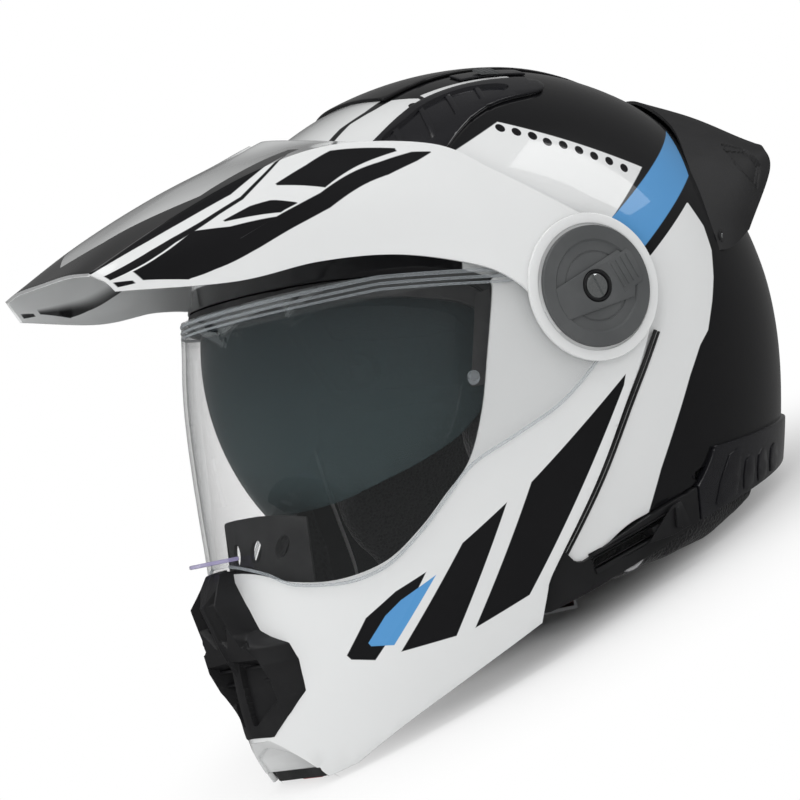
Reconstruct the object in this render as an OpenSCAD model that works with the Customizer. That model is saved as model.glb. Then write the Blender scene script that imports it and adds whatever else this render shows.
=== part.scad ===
// Modular motorcycle helmet with a flip-up chin bar, a peak and an inner sun visor.
// Wearing frame: origin between the side pivots, front towards -Y, wearer's left towards +X.
// The helmet is laid down at the end, resting on its chin and its neck roll.

/* [Rest] */
// Tilt from the wearing attitude to the resting one, degrees
rest_tilt = 20.8; // [16:0.1:24]
// Height of the pivot axis over the table
pivot_height = 148; // [146:0.5:150]
// Place of the pivot axis along the helmet, from the middle of its length
pivot_ahead = 25.4; // [20:0.1:30]

/* [Outer shell] */
// Half width of the shell at the pivots
shell_half_w = 117; // [115:0.5:119]
// Crown height over the pivot axis
crown_r = 125.5; // [122:0.5:127]
// Brow distance in front of the pivot axis
brow_r = 151; // [148:0.5:153]
// Back of the shell behind the pivot axis
back_r = 159; // [156:1:164]
// Wall of the shell
shell_t = 4; // [3:0.25:4.5]
// Roundness of the sections across the helmet
roundness = 2.2; // [2.1:0.05:2.3]

/* [Chin bar] */
// Half width of the chin bar skin at the pivots
chin_half_w = 121.2; // [121:0.1:121.4]
// Reach of the chin bar at the height of the mouth
chin_r = 190; // [188:0.5:194]
// Wall of the chin bar skin
chin_t = 3; // [2.8:0.1:3]
// Sharpening of the chin bar's front in plan
chin_pinch = 0.6; // [0.3:0.05:0.7]
// Depth of the impact liner at the chin
chin_liner_t = 24; // [18:1:28]

/* [Face shield] */
// Thickness of the clear shield
shield_t = 2; // [1.6:0.1:2.2]
// Gap between the chin bar and the shield
shield_gap = 0.9; // [0.6:0.1:1.2]
// Radius of the hub that the shield turns on
hub_r = 12; // [11:0.5:13]

/* [Sun visor] */
// Radius of the sun visor about its pivots
visor_r = 124.5; // [123:0.5:125]
// Thickness of the sun visor
visor_t = 1.8; // [1.5:0.1:2]
// Half width of the sun visor at its pivots
visor_half_w = 97; // [96:0.5:98]

/* [Pivots] */
// Radius of the main pivot pins
pin_r = 7; // [6:0.25:8]
// Radial running clearance on pins
pin_clear = 0.05; // [0.02:0.01:0.09]
// Radius of the side discs
disc_r = 30; // [28:0.5:31]
// Radius of the peak's ring round each side disc
ring_r = 36.5; // [35:0.5:38]
// Gap between stacked parts at the pivots
stack_gap = 0.3; // [0.2:0.05:0.4]
// Gap between the shell and what turns over it
body_gap = 0.6; // [0.5:0.05:0.8]

/* [Linings] */
// Impact liner thickness at the sides
liner_side_t = 24; // [20:1:26]
// Impact liner thickness over the crown and at the back
liner_top_t = 36; // [30:1:38]
// Comfort lining thickness
comfort_t = 7; // [5:0.5:9]
// Gap between linings
lining_gap = 0.3; // [0.2:0.05:0.5]

/* [Hidden] */

// Side profiles: radius from the pivot axis every 30 degrees, from the front over the crown
shell_keys = [brow_r, brow_r - 9, crown_r + 3.5, crown_r, crown_r + 7, back_r - 13, back_r,
  back_r + 16, 208, 240, 226, 180];
chin_keys = [151, 146, 140, 138, 145, 165, 185, 215, 260, 320, chin_r + 95, chin_r];
shield_keys = [for (i = [0:11]) chin_keys[i] + shield_gap + shield_t + (i > 8 ? 1 : 0.6)];
visor_keys = [for (i = [0:11]) visor_r];
turn_step = 8;
band_step = 9;
soft_step = 12;

shell_in_w = shell_half_w - 8;
pocket_x = shell_half_w - 4.5;
plate_x = pocket_x + 2;
arm_x = plate_x + stack_gap;
arm_t = 1.6;
shield_in_w = chin_half_w + shield_gap;
shield_out_w = shield_in_w + shield_t;
ring_x = shield_out_w + stack_gap;
ring_t = 2.3;
disc_x = ring_x + ring_t + 0.1;
disc_t = 2.8;
visor_pivot = [-20, -12];
visor_pin_r = 4;
visor_disc_r = 9;
screw_r = 7;
shank_r = 2.4;

// Point of an open row of points, smooth through each of them, u from 0 to the last index
function blend4(a, b, c, d, t) =
  b + 0.5 * t * (c - a + t * (2 * a - 5 * b + 4 * c - d + t * (3 * (b - c) + d - a)));
function along(row, u) =
  let (n = len(row) - 1, i = min(floor(u), n - 1), t = u - i,
    p = row[i], q = row[i + 1])
  blend4(i > 0 ? row[i - 1] : 2 * p - q, p, q, i + 2 <= n ? row[i + 2] : 2 * q - p, t);
// Radius of a closed side profile at an angle
function profile(keys, th) =
  let (n = len(keys), a = ((th % 360 + 360) % 360) * n / 360, i = floor(a))
  blend4(keys[(i + n - 1) % n], keys[i % n], keys[(i + 1) % n], keys[(i + 2) % n], a - i);
// Direction of the chin from the pivot axis
chin_th = -45;
// Point of a rounded body: half width w, side radius r, th round the pivot axis, ph sideways
function body_point(w, r, th, ph, pinch = 0) =
  let (c = cos(ph), s = sin(ph), n = roundness - pinch * pow(max(0, cos(th - chin_th)), 3) * c * c,
    k = pow(pow(abs(s) / w, n) + pow(c / r, n), -1 / n))
  [k * s, -k * c * cos(th), k * c * sin(th)];

// Closed rounded body round the pivot axis
module body(keys, w, dr, pinch = 0, ts = turn_step, bs = band_step) {
  nt = 360 / ts;
  np = 180 / bs;
  pts = concat([[-w, 0, 0]],
    [for (j = [1:np - 1], i = [0:nt - 1])
      let (th = i * ts)
      body_point(w, profile(keys, th) - dr, th, -90 + j * bs, pinch)],
    [[w, 0, 0]]);
  top = len(pts) - 1;
  faces = concat(
    [for (i = [0:nt - 1]) [0, 1 + (i + 1) % nt, 1 + i]],
    [for (j = [0:np - 3], i = [0:nt - 1])
      let (a = 1 + j * nt + i, b = 1 + j * nt + (i + 1) % nt) [a, b, b + nt, a + nt]],
    [for (i = [0:nt - 1])
      let (a = 1 + (np - 2) * nt) [a + i, a + (i + 1) % nt, top]]);
  polyhedron(pts, faces, convexity = 6);
}
// Wall between two rounded bodies
module wall(keys, w0, dr0, w1, dr1, pinch = 0, ts = turn_step, bs = band_step) {
  difference() {
    body(keys, w0, dr0, pinch, ts, bs);
    body(keys, w1, dr1, pinch, ts, bs);
  }
}
// The same, with the coarser facets of foam and cushions
module soft_body(keys, w, dr) {
  body(keys, w, dr, 0, soft_step, soft_step);
}
// Prism along X over a side view outline given as [y, z] points, its corners rounded by r
module side_prism(outline, x0 = -160, x1 = 160, r = 0) {
  translate([x0, 0, 0]) rotate([90, 0, 90]) linear_extrude(x1 - x0)
    offset(r = r, $fn = 32) offset(delta = -r) polygon(outline);
}
// Cylinder along X
module x_rod(r, x0, x1, y = 0, z = 0, fn = 48) {
  translate([x0, y, z]) rotate([0, 90, 0]) cylinder(r = r, h = x1 - x0, $fn = fn);
}
// Sheet of thickness t under a grid of points, closed round its border
module sheet(grid, t) {
  m = len(grid);
  n = len(grid[0]);
  function normal(i, j) =
    let (a = grid[min(i + 1, m - 1)][j] - grid[max(i - 1, 0)][j],
      b = grid[i][min(j + 1, n - 1)] - grid[i][max(j - 1, 0)],
      c = cross(b, a))
    c / norm(c);
  pts = concat([for (r = grid) each r],
    [for (i = [0:m - 1], j = [0:n - 1]) grid[i][j] - t * normal(i, j)]);
  k = m * n;
  faces = concat(
    [for (i = [0:m - 2], j = [0:n - 2])
      let (a = i * n + j) each [[a, a + n, a + 1], [a + 1, a + n, a + n + 1]]],
    [for (i = [0:m - 2], j = [0:n - 2])
      let (a = k + i * n + j) each [[a, a + 1, a + n], [a + 1, a + n + 1, a + n]]],
    [for (i = [0:m - 2]) let (a = i * n) each [[a, a + k, a + n], [a + k, a + n + k, a + n]]],
    [for (i = [0:m - 2])
      let (a = i * n + n - 1) each [[a, a + n, a + k], [a + k, a + n, a + n + k]]],
    [for (j = [0:n - 2]) each [[j, j + 1, j + k], [j + k, j + 1, j + 1 + k]]],
    [for (j = [0:n - 2])
      let (a = (m - 1) * n + j) each [[a, a + k, a + 1], [a + k, a + 1 + k, a + 1]]]);
  polyhedron(pts, faces, convexity = 6);
}
// Lays the helmet down on the table
module laid() {
  translate([0, pivot_ahead, pivot_height]) rotate([-rest_tilt, 0, 0]) children();
}
// Everything over the table, in the wearing frame
module over_table() {
  rotate([rest_tilt, 0, 0]) translate([-200, -300, -pivot_height]) cube([400, 600, 500]);
}
// One mesh of its children, for the freely shaped walls
module moulded() {
  resize([0, 0, 0]) union() children();
}
module mirrored(side) {
  if (side > 0) children();
  else mirror([1, 0, 0]) children();
}

// Outlines in side view, as [y, z] points
shell_outline = [[-175, 31], [-112, 27], [-64, 15], [-50, 2], [-46, -30], [-42, -70],
  [-38, -110], [-41, -123], [20, -113], [50, -104], [58, -96], [165, -76], [220, -66],
  [220, 170], [-175, 170]];
trim_top = [[-34, -122.2], [20, -113.3], [50, -104.3], [58, -96.3], [165, -76.3], [220, -66.3]];
trim_low = [[220, -80], [172, -92], [105, -109], [53, -122], [8, -137], [-37, -151], [-45, -151],
  [-43.4, -136]];
chin_outline = [[-200, -94], [-165, -100], [-150, -109], [-116, -108], [-88, -84], [-70, -58],
  [-60, -28], [-57, -2], [-50, 12], [-36, 20.6], [-20, 31.3], [0, 36], [25, 27], [36, 4], [32, -21],
  [22, -40], [9, -59], [-12, -91], [-36, -124], [-46, -136], [-50, -156], [-88, -176],
  [-120, -195], [-142, -213],
  [-160, -192], [-200, -184]];
shield_outline = [[-200, 24], [-150, 27], [-110, 27], [-74, 20], [-45, 18], [-28, 19], [-8, 20],
  [8, 18.5], [18, 9], [20, -4], [14, -17], [4, -28], [-12, -42], [-30, -54], [-76, -74],
  [-90, -88], [-114, -112], [-135, -118], [-150, -115], [-158, -107], [-166, -99.5],
  [-200, -98.5]];

// Outer shell, with a flat recess for each pivot
module outer_shell() {
  color("white") moulded() difference() {
    wall(shell_keys, shell_half_w, 0, shell_in_w, shell_t);
    difference() {
      side_prism([[-300, -300], [300, -300], [300, 300], [-300, 300]]);
      side_prism(shell_outline);
    }
    for (s = [-1, 1]) mirrored(s) x_rod(42, pocket_x, 140);
  }
}

liner_outline = [[-160, 36], [-64, 21], [-40, -20], [44, -29], [58, -90], [150, -70], [220, -60],
  [220, 200], [-160, 200]];
pocket_outline = [[-170, -60], [16, -60], [18, 20], [-10, 80], [-30, 135], [-170, 135]];
facet_slack = 1;
liner_out_w = shell_in_w - lining_gap - facet_slack;
liner_in_w = liner_out_w - liner_side_t;
liner_in_r = shell_t + lining_gap + liner_top_t;
visor_slot = 8.2;
// Impact liner, lowered in front where the sun visor slides under the shell
module impact_liner() {
  color("dimgray") moulded() intersection() {
    difference() {
      soft_body(shell_keys, liner_out_w, shell_t + lining_gap + facet_slack);
      soft_body(shell_keys, liner_in_w, liner_in_r);
      difference() {
        side_prism(pocket_outline);
        soft_body(shell_keys, visor_half_w - 5, shell_t + visor_slot);
      }
      for (s = [-1, 1]) mirrored(s) x_rod(visor_disc_r + 0.6, 80, 120, visor_pivot[0],
        visor_pivot[1], 24);
    }
    side_prism(liner_outline);
  }
}

pad_w = liner_in_w - lining_gap;
pad_r = liner_in_r + lining_gap;
crown_outline = [[-160, 44], [-64, 30], [-44, 2], [40, -6], [60, -70], [150, -56], [220, -50],
  [220, 200], [-160, 200]];
// Comfort lining over the crown and the back of the head
module crown_pad() {
  color("slategray") moulded() intersection() {
    wall(shell_keys, pad_w, pad_r, pad_w - comfort_t, pad_r + comfort_t, 0, soft_step, soft_step);
    side_prism(crown_outline);
  }
}

cheek_outline = [[-58, -8], [-34, -28], [38, -36], [50, -84], [40, -110], [-34, -124],
  [-56, -96], [-62, -50]];
cheek_out_w = visor_half_w - 6.5;
cheek_in_x = 58;
// Cheek pad: a thick cushion with a crown towards the face
module cheek_pad(s) {
  color("darkslategray") mirrored(s) moulded() intersection() {
    soft_body(shell_keys, cheek_out_w, shell_t + lining_gap + 4);
    side_prism(cheek_outline, cheek_in_x - 20, 120, 8);
    translate([150 + cheek_in_x, -8, -72]) scale([150, 178, 190]) sphere(r = 1, $fn = 36);
  }
}
core_outline = [[-30, -76], [28, -84], [28, -109], [-24, -117.5], [-30, -110]];
// Hard core between the shell and the cheek pad, below the sun visor
module cheek_core(s) {
  color("dimgray") mirrored(s) moulded() intersection() {
    wall(shell_keys, liner_out_w, shell_t + lining_gap, cheek_out_w + lining_gap,
      shell_t + 4);
    side_prism(core_outline, 40, 120);
  }
}
roll_outline = [[-34, -152], [0, -146], [60, -134], [110, -128], [200, -128], [220, -60],
  [165, -84], [60, -108], [20, -124], [-34, -136]];
// Neck roll: padded rim of the opening, resting on the table behind
module neck_roll() {
  color("darkslategray") moulded() difference() {
    intersection() {
      wall(shell_keys, shell_in_w - 3, 8, 70, 40, 0, soft_step, soft_step);
      side_prism(roll_outline, -160, 160, 5);
      over_table();
    }
    for (x = [strap_top[0] + 4, strap_top[0] + 12])
      translate([-x, -14 - strap_w / 2 - 1.5, x > 90 ? -134 : -200]) cube([2 * x, strap_w + 3, 100]);
  }
}

// Rubber rim on the lower edge of the shell, with the slot of the sun visor's slider
slot_pos = [8, -125.5];
slot_len = 52;
slot_h = 5;
trim_slope = 16;
trim_in_w = shell_in_w - 2;
trim_in_dr = 7;
module trim_band(y0, y1) {
  intersection() {
    wall(shell_keys, shell_half_w + 2, -2, trim_in_w, trim_in_dr);
    side_prism(concat(trim_top, trim_low));
    translate([-160, y0, -300]) cube([320, y1 - y0, 400]);
  }
}
bumper_y = 62;
module slot_frame(x0, x1, l, h, at = slot_pos) {
  translate([0, at[0], at[1]]) rotate([trim_slope, 0, 0])
    translate([x0, -l / 2, -h / 2]) cube([x1 - x0, l, h]);
}
slider_x = 108.5;
module lower_trim() {
  color([0.1, 0.1, 0.11]) difference() {
    moulded() union() {
      difference() {
        trim_band(-60, bumper_y);
        slot_frame(90, 140, slot_len + 12, 16);
      }
      intersection() {
        slot_frame(102, slider_x, slot_len + 14, 18);
        side_prism(concat(trim_top, trim_low));
      }
    }
    slot_frame(90, 140, slot_len, slot_h);
  }
}
module rear_bumper() {
  color([0.05, 0.05, 0.06]) moulded() trim_band(bumper_y + 0.3, 240);
}

// Gasket under the brow that the shield closes against
gasket_outline = [[-175, 21], [-112, 17], [-66, 5], [-55, -6], [-52, -12], [-48.9, -12],
  [-50.5, 1.8], [-64.2, 14.6], [-112, 26.6], [-175, 30.6]];
module brow_gasket() {
  color([0.08, 0.08, 0.08]) moulded() intersection() {
    wall(shell_keys, shell_half_w - 0.5, 0.5, shell_in_w + 0.5, shell_t - 0.5);
    side_prism(gasket_outline);
    translate([-160, -300, -14]) cube([320, 600, 200]);
  }
}

// Prism along Z over an outline in plan given as [x, y] points, grown by d
module plan_prism(outline, z0 = 40, d = 0) {
  translate([0, 0, z0]) linear_extrude(140) offset(delta = d) polygon(outline);
}
cowl_h = 2.6;
vent_h = 3;
cowl_outline = [[-13, -52], [13, -52], [20, 0], [24, 60], [18, 108], [-18, 108], [-24, 60],
  [-20, 0]];
vent_outline = [[30, -58], [58, -44], [66, 0], [58, 44], [34, 50], [28, 0]];
vent_slot = [[38, -36], [52, -30], [56, 0], [50, 22], [38, 26], [36, 0]];
// Raised spine along the crown
module crown_cowl() {
  color([0.06, 0.06, 0.07]) moulded() intersection() {
    wall(shell_keys, shell_half_w + cowl_h, -cowl_h, shell_half_w + 0.1, -0.1);
    plan_prism(cowl_outline);
  }
}
// Louvred housing over each top vent
module top_vent(s) {
  color([0.1, 0.1, 0.11]) mirrored(s) moulded() union() {
    intersection() {
      wall(shell_keys, shell_half_w + vent_h, -vent_h, shell_half_w + 0.1, -0.1);
      difference() {
        plan_prism(vent_outline);
        plan_prism(vent_slot);
      }
    }
    intersection() {
      wall(shell_keys, shell_half_w + 1.2, -1.2, shell_half_w + 0.1, -0.1);
      plan_prism(vent_slot, d = 0.6);
      for (i = [0:3]) translate([30, -34 + i * 16, 40]) rotate([0, 0, 20]) cube([30, 2.4, 120]);
    }
  }
}
shutter_size = [9, 10, 1.3];
// Thumb slide that opens and shuts each top vent, on the louvres
module top_shutter(s) {
  p = body_point(shell_half_w + 1.5, profile(shell_keys, 95) + 1.5, 95, 21);
  color([0.2, 0.2, 0.21]) mirrored(s) translate(p) rotate([-5, 21, 0])
    translate([0, 0, 0.2]) difference() {
      translate([-shutter_size[0] / 2, -shutter_size[1] / 2, 0]) cube(shutter_size);
      for (i = [-1:1]) translate([-5, i * 3 - 0.4, 0.9]) cube([10, 0.8, 1]);
    }
}

// Exhaust spoiler round the back of the shell
spoiler_keys = [for (i = [0:11]) shell_keys[i] + (i == 5 ? 25 : i == 4 ? 3 : i == 6 ? 4 : 0)];
spoiler_side = [[96, 60], [110, 92], [134, 108], [215, 76], [215, 40], [186, 26], [150, 12],
  [104, 4], [98, 20]];
module rear_spoiler() {
  color([0.16, 0.16, 0.17]) moulded() intersection() {
    difference() {
      body(spoiler_keys, shell_half_w + 5, 0);
      body(shell_keys, shell_half_w + 0.2, -0.2);
    }
    side_prism(spoiler_side);
    translate([-92, 0, -50]) cube([184, 300, 300]);
  }
}
// Two screws that hold the spoiler
screw_th = 173;
module spoiler_screws() {
  color("silver") for (s = [-1, 1]) mirrored(s) {
    p = body_point(shell_half_w + 5, profile(spoiler_keys, screw_th), screw_th, 36);
    translate(p) rotate([0, 90, 50]) translate([0, 0, 0.3]) difference() {
      cylinder(r = 3.5, h = 1.6, $fn = 32);
      translate([0, 0, 0.6]) cylinder(r = 1.6, h = 2, $fn = 6);
    }
  }
}

// Steel plate on the shell with the pin that the chin bar turns on
module pivot_plate(s) {
  color("silver") mirrored(s) difference() {
    union() {
      x_rod(24, pocket_x, plate_x);
      x_rod(pin_r, plate_x, ring_x + ring_t - 0.6);
    }
    for (a = [30:120:270]) x_rod(2, pocket_x - 1, plate_x + 1, 18 * cos(a), 18 * sin(a), 24);
  }
}
striker_at = [-47, -137];
striker_r = 3;
// Latch strikers: a pin on a foot at each lower corner of the shell
module latch_strikers() {
  color("silver") for (s = [-1, 1]) mirrored(s) {
    x_rod(striker_r, 84, 92, striker_at[0], striker_at[1], 32);
    translate([81, striker_at[0] - 4, striker_at[1] - 4]) cube([3, 14, 8]);
    moulded() intersection() {
      translate([81, striker_at[0] + 4.5, striker_at[1] - 4]) cube([20, 5.5, 8]);
      body(shell_keys, trim_in_w - 0.02, trim_in_dr + 0.02);
    }
  }
}

// Smoke inner visor on its own pivots
visor_outline = [[-150, 45], [-118, 52], [-60, 40], [-26, 8], [-8, 0], [-6, -12], [-10, -24],
  [-30, -30], [-50, -44], [-66, -58], [-100, -72], [-120, -80], [-135, -78], [-160, -66]];
module sun_visor() {
  color([0.2, 0.26, 0.28, 0.6]) difference() {
    moulded() difference() {
      intersection() {
        translate([0, visor_pivot[0], visor_pivot[1]]) difference() {
          soft_body(visor_keys, visor_half_w, 0);
          soft_body(visor_keys, visor_half_w - visor_t, visor_t);
        }
        side_prism(visor_outline, -160, 160, 3);
      }
      translate([0, -100, -88]) rotate([90, 0, 0]) linear_extrude(80)
        polygon([[-17, -20], [17, -20], [13, 10], [5, 24], [-5, 24], [-13, 10]]);
    }
    x_rod(visor_pin_r + pin_clear, -120, 120, visor_pivot[0], visor_pivot[1]);
  }
}
// Pins of the sun visor, each on a disc against the shell
module sun_visor_pivots() {
  color("silver") for (s = [-1, 1]) mirrored(s) {
    x_rod(visor_pin_r, visor_half_w - 6, visor_half_w + 2, visor_pivot[0], visor_pivot[1]);
    x_rod(visor_disc_r, visor_half_w + 1, 107.2, visor_pivot[0], visor_pivot[1]);
  }
}
// Knob of the sun visor's slider, with a stem through the slot of the rim
knob_at = slot_pos + (slot_len / 2 - 9) * [cos(trim_slope), sin(trim_slope)];
module visor_slider() {
  color([0.12, 0.12, 0.13]) {
    difference() {
      translate([0, knob_at[0], knob_at[1]]) rotate([trim_slope, 0, 0])
        translate([slider_x + 0.3, 0, 0]) rotate([90, 0, 90]) linear_extrude(4)
          polygon([[-13, -2], [9, 7], [14, 7], [14, -7], [2, -7]]);
      for (i = [0:3]) slot_frame(slider_x + 3.3, 130, 1.2, 9,
        knob_at + (1 + i * 3.5) * [cos(trim_slope), sin(trim_slope)]);
    }
    slot_frame(slider_x - 9, slider_x + 0.3, 14, slot_h - 0.6, knob_at);
  }
}
// Tube of round section swept along a list of points
module tube(path, r, n = 8) {
  m = len(path);
  function dir(i) = let (d = path[min(i + 1, m - 1)] - path[max(i - 1, 0)]) d / norm(d);
  pts = [for (i = [0:m - 1])
    let (d = dir(i), u = cross(d, [1, 0, 0]) / norm(cross(d, [1, 0, 0])), v = cross(d, u))
    each [for (k = [0:n - 1]) path[i] + r * (cos(360 * k / n) * u + sin(360 * k / n) * v)]];
  faces = concat([[for (k = [0:n - 1]) k]],
    [for (i = [0:m - 2], k = [0:n - 1])
      let (a = i * n + k, b = i * n + (k + 1) % n) each [[a, a + n, b], [b, a + n, b + n]]],
    [[for (k = [n - 1:-1:0]) (m - 1) * n + k]]);
  polyhedron(pts, faces, convexity = 4);
}
cable_r = 1.5;
cable_points = [[92, 34, -112], [92, 34, -96], [97, 30, -78], [101, 20, -60], [101, 6, -42],
  [101, -10, -28], [101, -19, -22.5]];
// Sheathed cable from the slider up to the sun visor's pivot
module visor_cable() {
  color([0.1, 0.1, 0.1]) tube([for (i = [0:4 * (len(cable_points) - 1)])
    along(cable_points, i / 4)], cable_r);
}

strap_w = 22;
strap_t = 1.8;
strap_top = [84, -125.5];
strap_low = [12, -146];
// Half of the chin strap: webbing that hangs from the shell and comes in under the jaw
function strap_arc(d) = [for (i = [0:12])
  let (a = 90 * i / 12) [strap_low[0] + (strap_top[0] - strap_low[0] + d) * sin(a),
    strap_top[1] - (strap_top[1] - strap_low[1] + d) * cos(a)]];
module strap(s, x_end) {
  color([0.12, 0.12, 0.12]) mirrored(s) intersection() {
    translate([0, -14, 0]) rotate([90, 0, 0]) linear_extrude(strap_w, center = true)
      polygon(concat(strap_arc(0), [for (i = [12:-1:0]) strap_arc(-strap_t)[i]]));
    translate([x_end, -100, -300]) cube([200, 200, 400]);
  }
}
// Rivets that hold the straps to the shell
module strap_rivets() {
  color("silver") for (s = [-1, 1]) mirrored(s)
    moulded() intersection() {
      x_rod(4.5, strap_top[0] + 0.1, 110, -14, strap_top[1] - 2, 32);
      body(shell_keys, trim_in_w - 0.02, trim_in_dr + 0.02);
    }
}
// Ratchet buckle under the jaw: body, sprung lever and toothed strip
buckle_at = [14, -14, -147.2];
buckle_size = [40, 24, 2];
module buckle_body() {
  color("dimgray") translate([buckle_at[0], buckle_at[1] - 12, buckle_at[2] - 6]) difference() {
    union() {
      cube([buckle_size[0], buckle_size[1], 1.6]);
      for (y = [0, buckle_size[1] - 1.6]) translate([0, y, 0]) cube([buckle_size[0], 1.6, 9]);
    }
    translate([33, -1, 5]) rotate([-90, 0, 0]) cylinder(r = 1.5 + pin_clear, h = 30, $fn = 24);
  }
}
module buckle_lever() {
  color([0.7, 0.08, 0.06]) translate([buckle_at[0], buckle_at[1] - 12, buckle_at[2] - 6]) {
    translate([33, 0, 5]) rotate([-90, 0, 0]) cylinder(r = 1.5, h = 24, $fn = 24);
    translate([6, 2.2, 4.6]) cube([27, buckle_size[1] - 4.4, 1.4]);
  }
}
module ratchet_strip() {
  color([0.1, 0.1, 0.1]) translate([buckle_at[0] - 34, buckle_at[1] - 8, buckle_at[2] - 4]) {
    cube([56, 16, 1.6]);
    for (i = [0:9]) translate([34 + i * 2.2, 1, 1.6]) cube([1.2, 14, 0.7]);
  }
}

// What the brow sweeps through, seen from the chin bar as it turns
module brow_sweep() {
  body([for (i = [0:11]) brow_r - 2], shell_half_w + body_gap, 0);
}
// Chin bar skin, with an arm round each pivot
module chin_bar() {
  color("white") difference() {
    moulded() intersection() {
      wall(chin_keys, chin_half_w, 0, chin_half_w - chin_t, chin_t, chin_pinch);
      side_prism(chin_outline);
      over_table();
    }
    for (s = [-1, 1]) mirrored(s) x_rod(hub_r + 0.3, 100, 140, 0, 0, 36);
  }
}
chin_liner_outline = [[-200, -111], [-150, -120], [-112, -118], [-82, -91], [-70, -76],
  [-62, -66], [-57, -100], [-60, -136], [-64, -152], [-90, -168], [-122, -186], [-200, -216]];
chin_liner_side = 12;
liner_back_w = chin_half_w - chin_t - chin_liner_side;
liner_back_dr = chin_t + chin_liner_t;
module chin_liner() {
  color("dimgray") moulded() difference() {
    intersection() {
      body(chin_keys, chin_half_w - chin_t - 0.3, chin_t + 0.3, chin_pinch);
      side_prism(chin_liner_outline);
    }
    body(chin_keys, liner_back_w, liner_back_dr, chin_pinch);
    brow_sweep();
    for (s = [-1, 1]) mirrored(s)
      translate([hook_x - 3, hook_pivot[0] - 9, hook_pivot[1] - 10]) cube([20, 30, 20]);
    at_button() translate([-20, -11, -30]) cube([40, 19, 41]);
    at_shutter() translate([-19, -5.5, -0.2]) cube([38, 11, 20]);
  }
}
// Rubber edge of the eye port on the chin bar
port_outline = [[-200, -91], [-165, -97], [-150, -105.5], [-116.5, -104.5], [-91.5, -83],
  [-73.5, -58], [-66, -36], [-61.5, -36], [-69, -61], [-86, -88], [-114, -113], [-150, -115],
  [-165, -107], [-200, -102]];
module port_trim() {
  color([0.08, 0.08, 0.08]) moulded() difference() {
    intersection() {
      wall(chin_keys, chin_half_w - chin_t - 0.1, chin_t + 0.1, chin_half_w - 10, 10, chin_pinch);
      side_prism(port_outline);
    }
    brow_sweep();
  }
}
// Breath deflector over the nose, with five slanted slots
module breath_deflector() {
  color([0.1, 0.1, 0.1]) moulded() difference() {
    intersection() {
      wall(chin_keys, 110, 10.4, 108, 12.4, chin_pinch);
      side_prism([[-200, -80], [-150, -78], [-118, -94], [-118, -118.8], [-150, -119],
        [-200, -110]]);
      translate([-44, -300, -200]) cube([88, 300, 300]);
    }
    for (i = [-2:2]) translate([i * 15, -100, -95]) rotate([90, 12 * i, 0])
      linear_extrude(100) scale([1, 1.7]) circle(r = 3.4, $fn = 20);
  }
}

// Chin vent: cover, louvred core and shutter
vent_face = [[0, -102.5], [17, -106], [30, -128], [34, -136], [50, -146], [54, -166], [38, -186],
  [0, -184]];
function both_sides(half) = concat(half,
  [for (i = [len(half) - 1:-1:0]) if (half[i][0] > 0) [-half[i][0], half[i][1]]]);
module face_prism(half, y0 = -260, y1 = -60, d = 0) {
  translate([0, y1, 0]) rotate([90, 0, 0]) linear_extrude(y1 - y0)
    offset(delta = d) polygon(both_sides(half));
}
scoop_face = [[5, -112], [15, -112], [24, -130], [20, -146], [5, -146]];
scoop_low = [[5, -152], [28, -152], [40, -164], [30, -174], [5, -174]];
vent_keys = [for (i = [0:11]) chin_keys[i] + (i == 11 ? 18 : i == 10 ? -14 : 0)];
module chin_vent_cover() {
  color([0.1, 0.1, 0.11]) moulded() difference() {
    intersection() {
      difference() {
        body(vent_keys, chin_half_w + 6, 0, chin_pinch);
        body(chin_keys, chin_half_w + 0.2, -0.2, chin_pinch);
      }
      face_prism(vent_face);
    }
    for (s = [-1, 1]) mirrored(s) {
      translate([0, -60, 0]) rotate([90, 0, 0]) linear_extrude(200) polygon(scoop_face);
      translate([0, -60, 0]) rotate([90, 0, 0]) linear_extrude(200) polygon(scoop_low);
    }
  }
}
module chin_vent_core() {
  color([0.14, 0.14, 0.15]) moulded() intersection() {
    wall(chin_keys, chin_half_w + 2.2, -2.2, chin_half_w + 0.2, -0.2, chin_pinch);
    for (s = [-1, 1]) mirrored(s) intersection() {
      translate([0, -60, 0]) rotate([90, 0, 0]) linear_extrude(200) offset(delta = -0.2)
        union() {
          polygon(scoop_face);
          polygon(scoop_low);
        }
      union() for (i = [0:8]) translate([0, -240, -113 - i * 7.4]) cube([60, 200, 2.2]);
    }
  }
}
// Slide in the back of the chin liner, across the air channel
shutter_th = -47;
module at_shutter() {
  translate(body_point(liner_back_w, profile(chin_keys, shutter_th) - liner_back_dr - 0.6,
    shutter_th, 0)) rotate([90 + shutter_th, 0, 0]) children();
}
module chin_vent_shutter() {
  color([0.2, 0.2, 0.21]) at_shutter() difference() {
    translate([-12, -5, 0]) cube([24, 10, 3]);
    for (i = [-2:2]) translate([i * 3 - 0.5, -6, -1]) cube([1, 12, 1.6]);
  }
}

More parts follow.
